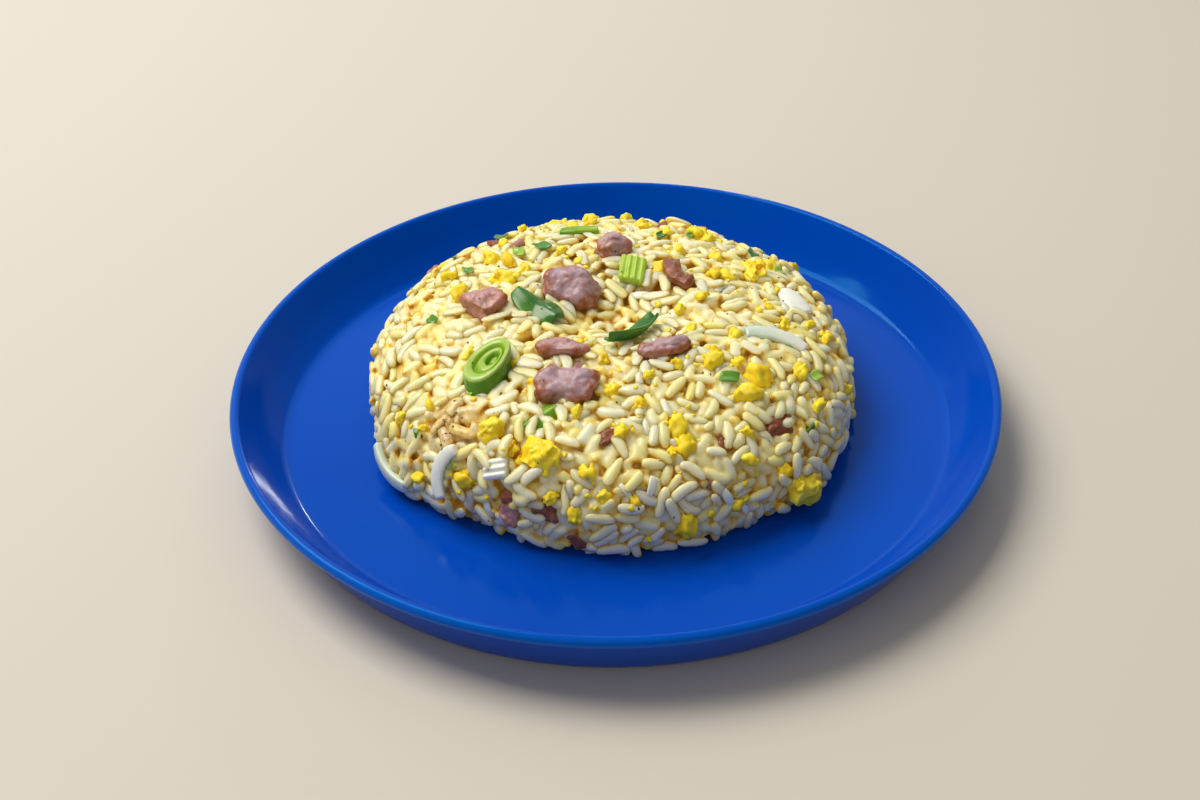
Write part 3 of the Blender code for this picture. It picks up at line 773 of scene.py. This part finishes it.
def make_scallion(stalk, leaf):
    rings = [
        (0.30, 0), (0.86, 0), (0.98, 0.08), (1.0, 0.2), (1.0, 0.84), (0.97, 0.95), (0.91, 1.0), (0.76, 0.99),
        (0.68, 0.95), (0.64, 0.80), (0.59, 0.77), (0.55, 0.88), (0.49, 0.93), (0.36, 0.92), (0.30, 0.87),
        (0.26, 0.68), (0.21, 0.66), (0.17, 0.78), (0.11, 0.82), (0.04, 0.82),
    ]
    ring = np.array(rings)
    rounded = np.stack([0.75 * ring[:-1] + 0.25 * ring[1:], 0.25 * ring[:-1] + 0.75 * ring[1:]], 1).reshape(-1, 2)
    slice_ = turned("sliced_scallion", [rings[0], *rounded.tolist(), rings[-1]], 96)
    raw = corners(slice_)
    turn = np.arctan2(raw[:, 1], raw[:, 0])
    out = np.hypot(raw[:, 0], raw[:, 1])
    lift = raw[:, 2] - 0.5
    shift = 0.3 * (0.8 - out) * (out < 0.8)
    wobble = 1 + 0.05 * np.sin(2 * turn + 0.6) + 0.03 * np.sin(3 * turn + 2)
    formed = np.stack([
        (raw[:, 0] * wobble + shift) * 16.5 / 2 * MM + lift * 3 * MM,
        (raw[:, 1] * wobble - shift) * 11.5 / 2 * MM,
        lift * 6.5 * MM], 1)
    set_corners(slice_, formed)
    top = np.clip((raw[:, 2] - 0.2) / 0.8, 0, 1)
    tone = np.where(out > 0.98, 0.12 + 0.35 * top, 0.45 + 0.45 * np.clip((raw[:, 2] - 0.7) / 0.25, 0, 1))
    pale = np.clip(1 - np.abs(out - 0.93) / 0.06, 0, 1) * (raw[:, 2] > 0.9) * 0.5
    paint(slice_, (tone, pale))
    slice_.data.transform(lying(220, 43, 50, 0.3 * MM, -8))
    made = [finish(slice_, stalk, "scallion", "scallion_1")]

    def bright(share):
        return 0.75 + 0.2 * share[:, 2]

    def middling(share):
        return 0.4 + 0.2 * share[:, 2] + 0.15 * share[:, 0]

    def dark(share):
        return 0.35 + 0.35 * np.abs(share[:, 1])

    def one_edge(share):
        return np.clip(share[:, 1] - 0.75, 0, 0.25) * 2

    block = sheet("ribbed_scallion", 12, 33, 2.6, ribbed_form(9.4, 7.6, 4, 4, 1.6), 1, -1.0)
    made.append(place_sheet(block, (70, 19.5, 80, 0.8 * MM), stalk, "scallion", "scallion_3", bright))
    strip = sheet("scallion_on_crest", 16, 6, 2.4, strip_form(11, 4, 10, 0.4))
    made.append(place_sheet(strip, (102, 43, 2, 0.2 * MM), stalk, "scallion", "scallion_5", middling))
    strip = sheet("folded_scallion", 16, 10, 1.1, leaf_form(10.4, 6.4, -2.2, 0.7, -0.8))
    made.append(place_sheet(strip, (248, 49.5, 30, 0), stalk, "scallion", "scallion_6", middling, one_edge))
    for node, length, width, thickness, fold, wave, curl, place in (
        ("scallion_2", 16.2, 11, 1.1, -2.6, 1.0, -1.2, (178, 20.8, -38, 1.4 * MM)),
        ("scallion_4", 19, 6.4, 0.9, 1.6, 0.7, 1, (296, 16.5, 27, 0.6 * MM, -20)),
        ("scallion_7", 13, 7, 0.9, -1.5, 0.5, -1, (34, 70, 40, -0.6 * MM)),
    ):
        blade = sheet("leaf_" + node, 18, 10, thickness, leaf_form(length, width, fold, wave, curl))
        made.append(place_sheet(blade, place, leaf, "scallion_leaf", node, dark))
    return made


def make_onion(material):
    made = []

    def white_end(share):
        return 0.45 + 0.5 * share[:, 0]

    def even(share):
        return 0.8

    def clear(share):
        return 0.15

    for node, length, width, thickness, bend, arch, place, tone in (
        ("onion_1", 11, 6.4, 2.2, 18, 0.6, (9, 53, -52, -0.3 * MM, 12), even),
        ("onion_2", 17.5, 4.6, 1.8, -45, 0.9, (346.3, 47, -16, 0.1 * MM), white_end),
        ("onion_3", 16, 3.4, 2.4, 95, 0.5, (228, 72, 252, 0.2 * MM), even),
        ("onion_4", 17, 4.2, 2.2, 42, 1.6, (212, 82.3, -52, 0.6 * MM), clear),
        ("onion_6", 13, 5, 2.0, 50, 0.9, (122, 77, 70, 0), clear),
    ):
        strip = sheet("strip_" + node, 20, 6, thickness, strip_form(length, width, bend, arch))
        made.append(place_sheet(strip, place, material, "onion", node, tone))
    block = sheet("ribbed_onion", 10, 25, 2.8, ribbed_form(6.6, 5.4, 4, 3, 0.6), 1, -1.0)
    made.append(place_sheet(block, (242.3, 66.2, 8, 0), material, "onion", "onion_5", even))
    return made


def make_curved_ham(material):
    strip = sheet("curved_ham", 18, 8, 3.6, strip_form(12.5, 4.6, 85, 0, 0.1, 0.05))
    work_surface(strip, HAM_LAYERS, 5)
    return place_sheet(
        strip, (39, 24, -55, 0), material, "ham", "ham_5", lambda share: 0.55 + 0.4 * np.abs(share[:, 2]),
        lambda share: 0.25)


# Small bits, one piece a kind. Each bit: azimuth, millimetres down the skin, size in millimetres.

EGG_BITS = (
    (153, 35.5, 5.6), (139, 39, 4.6), (142, 31, 3), (53, 25, 4.4), (110, 26, 2.6), (115, 32, 2.4), (85, 33, 4),
    (56, 36, 2.8), (333, 25, 3.6), (355, 20, 2.8), (266, 26, 2.6), (244, 19, 2), (302, 32.5, 2.8), (288, 33.5, 2.6),
    (270, 38, 3.2), (238, 39, 3), (224, 35, 3.4), (207, 43, 2.6), (244, 60, 3), (290, 51.5, 4.6), (273, 51, 3.4),
    (259, 45.5, 3), (280, 43.5, 2.6), (53, 49.5, 4), (43, 42, 3.4), (24, 37, 4.2), (28, 34, 4), (339, 36.5, 3.8),
    (321, 35, 5), (318, 38, 4.4), (324, 42, 3.2), (325, 48, 5.2), (337, 56.5, 4), (356, 61.5, 3.6), (355, 49, 3),
    (14, 49, 2.6), (4, 44.5, 2.2), (316, 52, 5), (9, 26, 3.2), (289, 58, 4.6), (306, 60, 3.4), (359, 56.5, 2.8),
    (170, 41.5, 2.6), (286, 80, 5.4), (286, 59.5, 3), (304, 67, 3.6), (264, 62.5, 4), (234, 72, 4.2), (262, 75, 4),
    (222, 78, 3.2), (275, 70, 2.4), (312, 74, 3.6), (268, 69, 3.4), (215, 60, 2.6), (210, 68, 2.8), (298, 77, 3),
    (256, 71, 3), (330, 66, 3), (345, 72, 3), (218, 66, 2.2),
)
HAM_BITS = ((226, 23, 4.6), (250, 30, 4.4), (317, 63, 6), (269, 52.5, 5), (255, 75.5, 5.6), (246, 74, 4.4),
            (300, 60, 3.4), (240, 48, 3.6), (262, 84, 4), (231, 47, 3), (292, 69, 3.2))
ONION_BITS = ((48, 13, 4.6), (279, 67, 4.4), (273, 67.5, 3.2), (306, 21.5, 4.4), (241, 79, 5), (300, 79, 4),
              (296, 74, 5), (243, 83, 3.6))
GREEN_BITS = ((121, 38.5, 5), (315, 44.5, 4.6), (323, 69, 4.2), (150, 47.5, 4), (40, 55.5, 4.6), (180, 50, 3.4),
              (218, 67.5, 3), (60, 48, 3))
PALE_BITS = ((131, 40.5, 5), (345, 51, 3.4), (230, 69, 4.6), (222, 50, 3.2), (338, 61, 4))
BACK = (20, 168)  # the unseen back of the mound, in degrees
BACK_HIGHEST = 42 * MM


def back_bits(count, smallest, largest, lowest=80):
    """Bits for the back and the far sides, spread as they are in front."""
    least, most = np.interp((BACK_HIGHEST, lowest * MM), DOWN, SKIN_AREA)
    for _ in range(count):
        share = DRAW.uniform(float(least), float(most))
        yield DRAW.uniform(*BACK), float(np.interp(share, SKIN_AREA, DOWN)) / MM, DRAW.uniform(smallest, largest)


def crumb_master(kind, seed):
    """Corners and faces of one bit, 1 mm across, made from a ball, a block or a folded sheet."""
    deselect()
    if kind == "lump":
        bpy.ops.mesh.primitive_ico_sphere_add(subdivisions=3, radius=0.5, location=(0, 0, 0))
        piece = named("lump")
        work_surface(piece, (("swell", 1.6, 420),), seed)
        chop(piece, seed, 6, 0.74)
        work_surface(piece, (("knob", 3.2, 200), ("swell", 5.0, 120)), seed)
    elif kind == "meat":
        bpy.ops.mesh.primitive_cube_add(size=1, location=(0, 0, 0))
        piece = named("meat")
        subdivide(piece, 3)
        set_corners(piece, corners(piece) * (1.5, 1.2, 0.8))
        work_surface(piece, (("swell", 1.9, 260), ("crease", 2.6, 160)), seed)
    elif kind == "square":
        piece = sheet("square", 4, 4, 160, lambda along, across: (
            0.5 * along + 0.1 * across, 0.42 * across, 0.16 * abs(across) - 0.1 * along * along))
    else:
        piece = sheet("sliver", 6, 3, 210, lambda along, across: (
            0.55 * along, 0.26 * across * (1 - 0.3 * along * along), -0.2 * along * along))
    return taken_apart(piece)


def joined(name, parts):
    """One piece from many (corners, faces, values) parts, and the values of all its corners."""
    places, faces, values, start = [], [], [], 0
    for some, joins, value in parts:
        places.append(some)
        faces.extend(tuple(index + start for index in face) for face in joins)
        values.append(value)
        start += len(some)
    data = bpy.data.meshes.new(name)
    data.from_pydata(np.concatenate(places).tolist(), [], faces)
    data.update()
    piece = bpy.data.objects.new(name, data)
    bpy.context.scene.collection.objects.link(piece)
    return piece, np.concatenate(values)


def scatter(name, kind, bits, material, slot, sunk, tone, larger=1):
    """Copies of a few masters, each turned its own way, where the bits lie."""
    masters = [crumb_master(kind, seed) for seed in range(4)]
    parts = []
    for index, (azimuth, down, size) in enumerate(bits):
        places, faces = masters[index % len(masters)]
        size *= larger
        place = lying(azimuth, down, DRAW.uniform(0, 360), -sunk * size * MM, DRAW.uniform(-20, 20))
        stretch = np.array([DRAW.uniform(0.95, 1.25), DRAW.uniform(0.8, 1.05), DRAW.uniform(0.75, 1.0) * 0.9])
        moved = places * stretch * size * MM
        moved = moved @ np.array(place.to_3x3()).T + np.array(place.translation)
        value = np.zeros((len(moved), 3))
        value[:, 0] = DRAW.uniform(*tone)
        parts.append((moved, faces, value))
    piece, values = joined(name, parts)
    paint(piece, values.T)
    return finish(piece, material, slot)


# The rice

def make_core():
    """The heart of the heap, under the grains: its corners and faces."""
    core = ball("rice_core", 140, 70, 1)
    skin_share = 0.82  # of the ball from pole to pole; the rest closes the underside
    lowest = MOUND_BASE + 0.2 * MM
    places = []
    for vertex in core.data.vertices:
        share = math.acos(max(-1, min(1, vertex.co.z))) / math.pi
        azimuth = math.degrees(math.atan2(vertex.co.y, vertex.co.x))
        down = min(share / skin_share, 1) * DOWN[-1]
        point, normal = on_mound(azimuth, down)
        bumps = 0.9 * MM * (noise.voronoi(point * 330)[0][0] * 1.4 - 0.5)
        point = point - normal * (float(np.interp(down, (45 * MM, 60 * MM), CORE_DEPTH)) + bumps)
        if share > skin_share:
            point = MOUND_CENTRE + (point - MOUND_CENTRE) * ((1 - share) / (1 - skin_share))
            point.z = lowest
        point.z = max(point.z, lowest)
        places.append(point)
    _, faces = taken_apart(core)
    return np.array(places), faces


def grain_master(seed):
    """A cooked grain along X: a ball drawn out, blunted, bent and dented, 1 long and 1 thick."""
    draw = random.Random(seed)
    grain = ball("grain", 8, 9, 0.5)
    bpy.ops.object.mode_set(mode="EDIT")
    bpy.ops.mesh.select_all(action="SELECT")
    bpy.ops.transform.rotate(value=math.pi / 2, orient_axis="Y", center_override=(0, 0, 0))
    bpy.ops.object.mode_set(mode="OBJECT")
    places, faces = taken_apart(grain)
    along = places[:, 0] * 2
    as_ball = np.sqrt(np.maximum(1 - along**2, 1e-6))
    blunt = np.maximum(1 - np.abs(along) ** BLUNTNESS, 0) ** (1 / BLUNTNESS)
    places[:, 1:] *= (blunt / as_ball)[:, None]
    if seed % 4 == 3:  # burst at one tip
        tip = np.clip(along - 0.3, 0, 1)
        places[:, 1] *= 1 + 0.55 * tip
        places[:, 2] *= 1 - 0.35 * tip
    places[:, 1] += draw.uniform(-0.24, 0.24) * along**2
    places[:, 2] += draw.uniform(-0.14, 0.14) * along**2
    for _ in range(3):  # dents and swellings
        spot = np.array([draw.uniform(-0.4, 0.4), draw.choice((-0.5, 0.5)), draw.uniform(-0.4, 0.4)])
        near = np.exp(-(((places - spot) * (2.6, 2.0, 2.0)) ** 2).sum(1) * 2)
        places[:, 1:] *= (1 + draw.uniform(-0.3, 0.22) * near)[:, None]
    places[:, 1:] *= (1 + draw.uniform(-0.16, 0.16) * along)[:, None]
    places[:, 1] *= draw.uniform(0.9, 1.05)
    places[:, 2] *= draw.uniform(0.78, 0.95)
    places += np.array([draw.uniform(-1, 1) for _ in range(places.size)]).reshape(-1, 3) * (0.012, 0.03, 0.03)
    return places, faces


def nearest_between(start, way, half, other, other_way, other_half):
    """Nearest points of pairs of straight pieces: how far along each one they lie, and the gap between them."""
    gap = start - other
    b = (way * other_way).sum(1)
    d = (way * gap).sum(1)
    e = (other_way * gap).sum(1)
    along = np.clip((b * e - d) / np.maximum(1 - b * b, 1e-6), -half, half)
    other_along = np.clip(b * along + e, -other_half, other_half)
    along = np.clip(b * other_along - d, -half, half)
    return along, other_along, gap + along[:, None] * way - other_along[:, None] * other_way


def settle_grains(toppings, large):
    """Lets the grains push each other apart until they lie side by side under the skin, clear of the toppings."""
    count = GRAINS
    draws = np.random.RandomState(5)
    share = (np.arange(count) + draws.uniform(0, 1, count)) / count
    down = np.interp(share * SKIN_AREA[-1], SKIN_AREA, DOWN)
    azimuth = (np.arange(count) * 137.50776 + draws.uniform(-4, 4, count)) % 360
    depth = 1.6 * MM + (LAYER - 1.6 * MM) * draws.uniform(0, 1, count) ** 1.25
    half_thick = draws.uniform(*GRAIN_THICKNESS, count) / 2
    half_long = draws.uniform(*GRAIN_LENGTH, count) / 2
    short = draws.uniform(0, 1, count) < 0.08
    half_long[short] *= 0.65
    half = half_long - half_thick
    place = np.empty((count, 3))
    way = np.empty((count, 3))
    for index in range(count):
        point, normal = on_mound(azimuth[index], down[index])
        tangent = normal.orthogonal().normalized()
        turn = draws.uniform(0, math.pi)
        tilt = draws.normal(0, 0.32 if down[index] < 50 * MM else 0.46)
        flat = tangent * math.cos(turn) + normal.cross(tangent) * math.sin(turn)
        place[index] = point - normal * depth[index]
        way[index] = flat * math.cos(tilt) + normal * math.sin(tilt)
    loose = from_top_to_side(down, 0.4, 0.95)
    proud = np.clip(draws.normal(0, 1, count) * loose, -1.4, 1.7) * MM
    trees = [surface_tree(piece) for piece in toppings]
    tree_boxes = [(corners(piece).min(0) - 6 * MM, corners(piece).max(0) + 6 * MM) for piece in toppings]
    for low, high in tree_boxes:
        close = ((place > low + 2 * MM) & (place < high - 2 * MM)).all(1) & (depth < 3 * MM)
        if (high - low).max() < 40 * MM:
            proud[close] += draws.uniform(0, 2.0, close.sum()) * MM
    climbs = draws.uniform(0, 1, count) < 0.3  # these stay where they overlap a topping's rim
    first = second = None
    for round_ in range(SETTLING_ROUNDS):
        if round_ % 8 == 0:
            pairs = []
            for begin in range(0, count, 500):
                gap = np.linalg.norm(place[begin:begin + 500, None] - place[None], axis=2)
                near = np.argwhere(gap < 7.8 * MM)
                near[:, 0] += begin
                pairs.append(near[near[:, 0] < near[:, 1]])
            first, second = np.concatenate(pairs).T
            beside = []
            for (low, high), tree in zip(tree_boxes, trees):
                inside = np.flatnonzero(((place > low) & (place < high)).all(1))
                beside.append([i for i in inside if tree.find_nearest(Vector(place[i]), 7.5 * MM)[0] is not None])
        along, other_along, gap = nearest_between(
            place[first], way[first], half[first], place[second], way[second], half[second])
        apart = np.linalg.norm(gap, axis=1)
        overlap = (half_thick[first] + half_thick[second]) * PRESSED - apart
        touching = overlap > 0
        push = gap[touching] / np.maximum(apart[touching], 1e-6)[:, None] * (overlap[touching] * 0.5)[:, None]
        ones, others = first[touching], second[touching]
        move = np.zeros((count, 3))
        swing = np.zeros((count, 3))
        hits = np.bincount(ones, minlength=count) + np.bincount(others, minlength=count)
        turned_by = push * (along[touching] / (half[ones] ** 2 + half_thick[ones] ** 2))[:, None]
        turned_back = -push * (other_along[touching] / (half[others] ** 2 + half_thick[others] ** 2))[:, None]
        for axis in range(3):
            move[:, axis] = np.bincount(ones, push[:, axis], count) - np.bincount(others, push[:, axis], count)
            swing[:, axis] = (
                np.bincount(ones, turned_by[:, axis], count) + np.bincount(others, turned_back[:, axis], count))
        ease = (1.3 / np.maximum(hits, 1.3))[:, None]
        place += move * ease
        way += swing * ease * 0.8
        for piece, tree in enumerate(trees):
            for index in beside[piece]:
                if climbs[index] and piece < large:
                    continue
                for reach in (-half[index], 0, half[index]):
                    spot = Vector(place[index] + way[index] * reach)
                    found, normal, _, gap_there = tree.find_nearest(spot, 5 * MM)
                    if found is None:
                        continue
                    clear = (spot - found).dot(normal)
                    clear = gap_there if clear > 0 else -gap_there
                    lack = half_thick[index] * 0.3 - clear
                    if lack > 0:
                        shift = np.array(normal) * lack
                        place[index] += shift * 0.5
                        way[index] += shift * (reach / (half[index] ** 2 + half_thick[index] ** 2)) * 0.4
        way /= np.linalg.norm(way, axis=1)[:, None]
        deep, outward, _ = skin_depth(place)
        lean = (way * outward).sum(1)
        least = half_thick - proud + half * np.abs(lean) * 0.85
        lack = least - deep
        place -= outward * (np.maximum(lack, 0) * 0.8)[:, None]
        way -= outward * (np.where(lack > 0, lean * 0.07, 0))[:, None]
        too_deep = np.maximum(deep - LAYER, 0)
        place += outward * (too_deep * 0.5)[:, None]
        lowest = place[:, 2] - np.abs(way[:, 2]) * half - half_thick
        place[:, 2] += np.maximum(FLOOR_HEIGHT + 0.05 * MM - lowest, 0)
        way /= np.linalg.norm(way, axis=1)[:, None]
    buried = np.zeros(count, bool)
    for piece, tree in enumerate(trees):
        for index in beside[piece]:
            for reach in (-half[index], 0, half[index]):
                spot = Vector(place[index] + way[index] * reach)
                found, normal, _, _ = tree.find_nearest(spot, 5 * MM)
                sunk = (-1.3 if climbs[index] and piece < large else -0.5) * MM
                if found is not None and (spot - found).dot(normal) < sunk:
                    buried[index] = True
    keep = ~buried
    return place[keep], way[keep], half_long[keep], half_thick[keep]


def press_into_mould(piece):
    """Flattens what stands out of the skin, as the bowl that shaped the heap did: hard on top, lightly low down.

    Returns the painted shade of each corner, from 0 to 1: none on the bright tops of the grains, more down their sides
    and deep down, and more low on the heap.
    """
    places = corners(piece)
    normals = corner_normals(piece)
    painted_gap_shade = np.empty(len(places))
    for begin in range(0, len(places), 20000):
        some = slice(begin, begin + 20000)
        deep, outward, down = skin_depth(places[some])
        # Painted shade: corners turned sideways from the skin and corners deep under it; the deep part is stronger low
        # on the heap
        sideways = 1 - np.clip(((normals[some] * outward).sum(1) - 0.15) / 0.7, 0, 1)
        low = np.interp(down, (50 * MM, 70 * MM), (0.6, 0.95))
        painted_gap_shade[some] = 0.5 * sideways + low * np.clip((deep / MM - 0.8) / 2.4, 0, 1)
        free = from_top_to_side(down, 0.1 * MM, 0.5 * MM)
        give = from_top_to_side(down, 0.3, 0.65)
        excess = np.maximum(-deep - free, 0)
        places[some] -= outward * (excess * (1 - give))[:, None]
    set_corners(piece, places)
    return painted_gap_shade


def fuse(piece):
    """Runs overlapping bodies together into one skin, softens it and thins it."""
    name = piece.name
    remesh = piece.modifiers.new("fuse", "REMESH")
    remesh.mode = "VOXEL"
    remesh.voxel_size = FUSING
    apply_all(piece)
    bpy.ops.object.mode_set(mode="EDIT")
    bpy.ops.mesh.select_all(action="SELECT")
    bpy.ops.mesh.separate(type="LOOSE")  # the skins of closed gaps deep inside
    bpy.ops.object.mode_set(mode="OBJECT")
    skins = sorted(bpy.context.selected_objects, key=lambda skin: len(skin.data.vertices))
    piece = skins.pop()
    for skin in skins:
        bpy.data.objects.remove(skin, do_unlink=True)
    piece.name = name
    soften(piece, 1)
    thin = piece.modifiers.new("thin", "DECIMATE")
    thin.ratio = MOST_TRIANGLES / (2 * len(piece.data.polygons))
    apply_all(piece)
    piece.data.validate()
    return piece


def make_grains(toppings, bits, mass_finish, grain_finish):
    """The pressed mass, in which the grains have run together, and the grains that still lie loose on it."""
    place, way, half_long, half_thick = settle_grains(toppings + bits, len(toppings))
    count = len(place)
    draws = np.random.RandomState(8)
    deep, outward, down = skin_depth(place)
    across = np.cross(outward, way)
    across /= np.linalg.norm(across, axis=1)[:, None]
    upward = np.cross(way, across)
    roll = draws.uniform(-0.7, 0.7, count)
    side = across * np.cos(roll)[:, None] + upward * np.sin(roll)[:, None]
    top = np.cross(way, side)
    height = (place[:, 2] - FLOOR_HEIGHT) / (MOUND_TOP - FLOOR_HEIGHT)
    # Grains low on the heap get lower, cooler tones: a painted reflection of the blue plate
    tone = 0.42 + draws.normal(0, 0.13, count) - 0.2 * np.clip(1 - height / 0.4, 0, 1)
    # Grains deep in the heap get more golden tones: painted shade where less light reaches
    tone += 0.3 * np.clip((deep / MM - 2.2) / 3, 0, 1)
    tone = np.clip(tone, 0.02, 0.95)
    toasted = np.array(on_mound(TOASTED[0], TOASTED[1] * MM)[0])
    toast = np.clip(1.2 - np.linalg.norm(place - toasted, axis=1) / TOASTED[2], 0, 1) * 0.8
    masters = [grain_master(seed) for seed in range(24)]

    def part(index, size=1.0):
        places, faces = masters[index % len(masters)]
        sized = places * (2 * half_long[index], 2 * half_thick[index], 2 * half_thick[index]) * size
        value = np.empty((len(places), 3))
        value[:, 0] = tone[index]
        value[:, 2] = toast[index]
        return sized @ np.stack([way[index], side[index], top[index]]) + place[index], faces, value

    outermost = deep < half_thick + 0.5 * MM
    loose = outermost & (draws.uniform(0, 1, count) < from_top_to_side(down, *LOOSE_SHARE))
    places, faces = make_core()
    mass, _ = joined("pressed_rice", [(places, faces, np.zeros((len(places), 3)))] + [
        part(index, SUNKEN_SIZE if loose[index] else 1.0) for index in range(count)])
    mass = fuse(mass)
    painted_gap_shade = press_into_mould(mass)
    marks = KDTree(5 * count)
    for step, share in enumerate((-0.8, -0.4, 0, 0.4, 0.8)):
        for index, spot in enumerate(place + way * ((half_long - half_thick) * share)[:, None]):
            marks.insert(spot, index * 5 + step)
    marks.balance()
    found = [marks.find(vertex.co)[1:] for vertex in mass.data.vertices]
    owner = np.array([mark // 5 for mark, _ in found])
    away = np.array([gap for _, gap in found]) / half_thick[owner]
    # More painted shade in the crevices, on corners far from any grain's middle
    painted_gap_shade += np.clip((away - 0.85) / 0.3, 0, 1) * 0.5
    paint(mass, (tone[owner], np.clip(painted_gap_shade, 0, 1), toast[owner]))
    made = [finish(mass, mass_finish, "rice", "rice_mound")]
    for name, lowest, highest in (("pale_grains", 0, 0.34), ("cream_grains", 0.34, 0.5), ("golden_grains", 0.5, 1)):
        chosen = np.flatnonzero(loose & (tone >= lowest) & (tone < highest))
        piece, values = joined(name, [part(index) for index in chosen])
        # The loose grains get the same painted shade down their sides and deep down
        values[:, 1] = np.clip(press_into_mould(piece), 0, 1)
        paint(piece, values.T)
        made.append(finish(piece, grain_finish, "rice", "rice_mound"))
    return made


def sprinkle(name, count, sizes, spots, pieces, material, slot, tone=(0, 1)):
    """Tiny bits pressed into whatever lies outermost on the mound. spots gives azimuth and millimetres down."""
    deselect()
    bpy.ops.mesh.primitive_ico_sphere_add(subdivisions=2, radius=0.5, location=(0, 0, 0))
    master = named("speck")
    work_surface(master, (("swell", 2.0, 300), ("knob", 3.0, 300)), 3)
    places, faces = taken_apart(master)
    trees = [surface_tree(piece) for piece in pieces]
    parts = []
    for azimuth, down in spots:
        point, normal = on_mound(azimuth, down * MM)
        start = point + normal * 6 * MM
        struck = [tree.ray_cast(start, -normal, 12 * MM) for tree in trees]
        struck = [hit for hit in struck if hit[0] is not None]
        if not struck or len(parts) == count:
            continue
        spot, facing, _, _ = min(struck, key=lambda hit: hit[3])
        size = DRAW.uniform(*sizes) * MM
        turned_by = facing.to_track_quat("Z", "Y").to_matrix() @ Matrix.Rotation(DRAW.uniform(0, 6), 3, "Z")
        stretch = np.array([DRAW.uniform(0.7, 1.5), DRAW.uniform(0.7, 1.1), DRAW.uniform(0.4, 0.8)]) * size
        moved = (places * stretch) @ np.array(turned_by).T + np.array(spot)
        value = np.zeros((len(moved), 3))
        value[:, 0] = DRAW.uniform(*tone)
        parts.append((moved, faces, value))
    piece, values = joined(name, parts)
    paint(piece, values.T)
    return finish(piece, material, slot)


def anywhere(count):
    for _ in range(count):
        yield DRAW.uniform(0, 360), float(np.interp(DRAW.uniform(0, SKIN_AREA[-1] * 0.97), SKIN_AREA, DOWN)) / MM


def toasted_spots(count):
    for _ in range(count):
        yield TOASTED[0] + DRAW.gauss(0, 4), TOASTED[1] + DRAW.gauss(0, 3.4)


def around_egg(count):
    """Crumbs fall mostly beside the larger bits of egg."""
    for _ in range(count):
        azimuth, down, size = DRAW.choice(EGG_BITS)
        reach = size * DRAW.uniform(0.5, 2.2)
        turn = DRAW.uniform(0, 2 * math.pi)
        aside = reach * math.cos(turn) / max(section_at(down * MM)[0] / MM, 8)
        yield azimuth + math.degrees(aside), min(max(down + reach * math.sin(turn), 1), 84)


def main():
    add_camera()
    add_studio()
    skin = make_moist_skin()
    lines = make_stalk_lines()
    make_plate(glaze_material())
    ham = ham_material(skin)
    egg = egg_material(skin)
    stalk = stalk_material(
        "scallion_stalk",
        ((0.0, colour(34, 96, 14)), (0.35, colour(90, 146, 10)), (0.65, colour(146, 188, 30)), (1.0, colour(190, 218, 84))),
        skin, lines, 9.0, 0.5, 0.3, colour(74, 136, 24))
    leaf = stalk_material(
        "scallion_leaf",
        ((0.0, colour(14, 64, 14)), (0.5, colour(50, 110, 22)), (1.0, colour(108, 158, 38))),
        skin, lines, 14.0, 0.8, 0.35, colour(70, 150, 70), 0.1, (0.3, 0.15))
    onion = stalk_material(
        "onion",
        ((0.0, colour(196, 214, 200)), (0.5, colour(228, 236, 222)), (1.0, colour(248, 250, 246))),
        skin, lines, 8.0, 0.6, 0.25, colour(208, 222, 210), 0.6, spread=(1.0, 1.0, 0.85))
    toppings = make_ham(ham) + [make_curved_ham(ham)] + make_egg(egg)
    toppings += make_scallion(stalk, leaf) + make_onion(onion)
    bits = [
        scatter("egg_crumbs", "lump", [*EGG_BITS, *back_bits(34, 2.2, 5)], egg, "egg", 0.12, (0, 0.4), 1.2),
        scatter("ham_crumbs", "meat", [*HAM_BITS, *back_bits(7, 3, 5.6)], ham, "ham", 0.3, (0.2, 0.8)),
        scatter("onion_bits", "sliver", [*ONION_BITS, *back_bits(7, 3.2, 5)], onion, "onion", 0.0, (0.5, 1)),
        scatter("scallion_bits", "square", [*GREEN_BITS, *back_bits(6, 3, 5)], leaf, "scallion_leaf", 0.0, (0.2, 0.9)),
        scatter("pale_scallion_bits", "square", [*PALE_BITS, *back_bits(4, 3, 5)], stalk, "scallion", 0.0, (0.6, 1)),
    ]
    grains = make_grains(toppings, bits, rice_material("pressed_rice", skin, 4.0 * MM, (1, 0.94, 0.7)),
                         rice_material("loose_rice", skin, 2.8 * MM, (1, 0.96, 0.82)))
    sprinkle("pepper_specks", 170, (0.3, 0.6), [*toasted_spots(16), *anywhere(200)], grains + toppings,
             pepper_material(), "rice")
    sprinkle("egg_dust", 150, (0.8, 1.8), [*around_egg(120), *anywhere(50)], grains, egg, "egg", (0, 0.4))


main()
bpy.ops.mesh.primitive_plane_add(size=8, location=(0, 0, 0))
floor = named("floor")
paper, _, paper_shader, _ = new_material("pale_floor", Roughness=0.8)
paper_shader.inputs["Base Color"].default_value = colour(204, 200, 192)
floor.data.materials.append(paper)
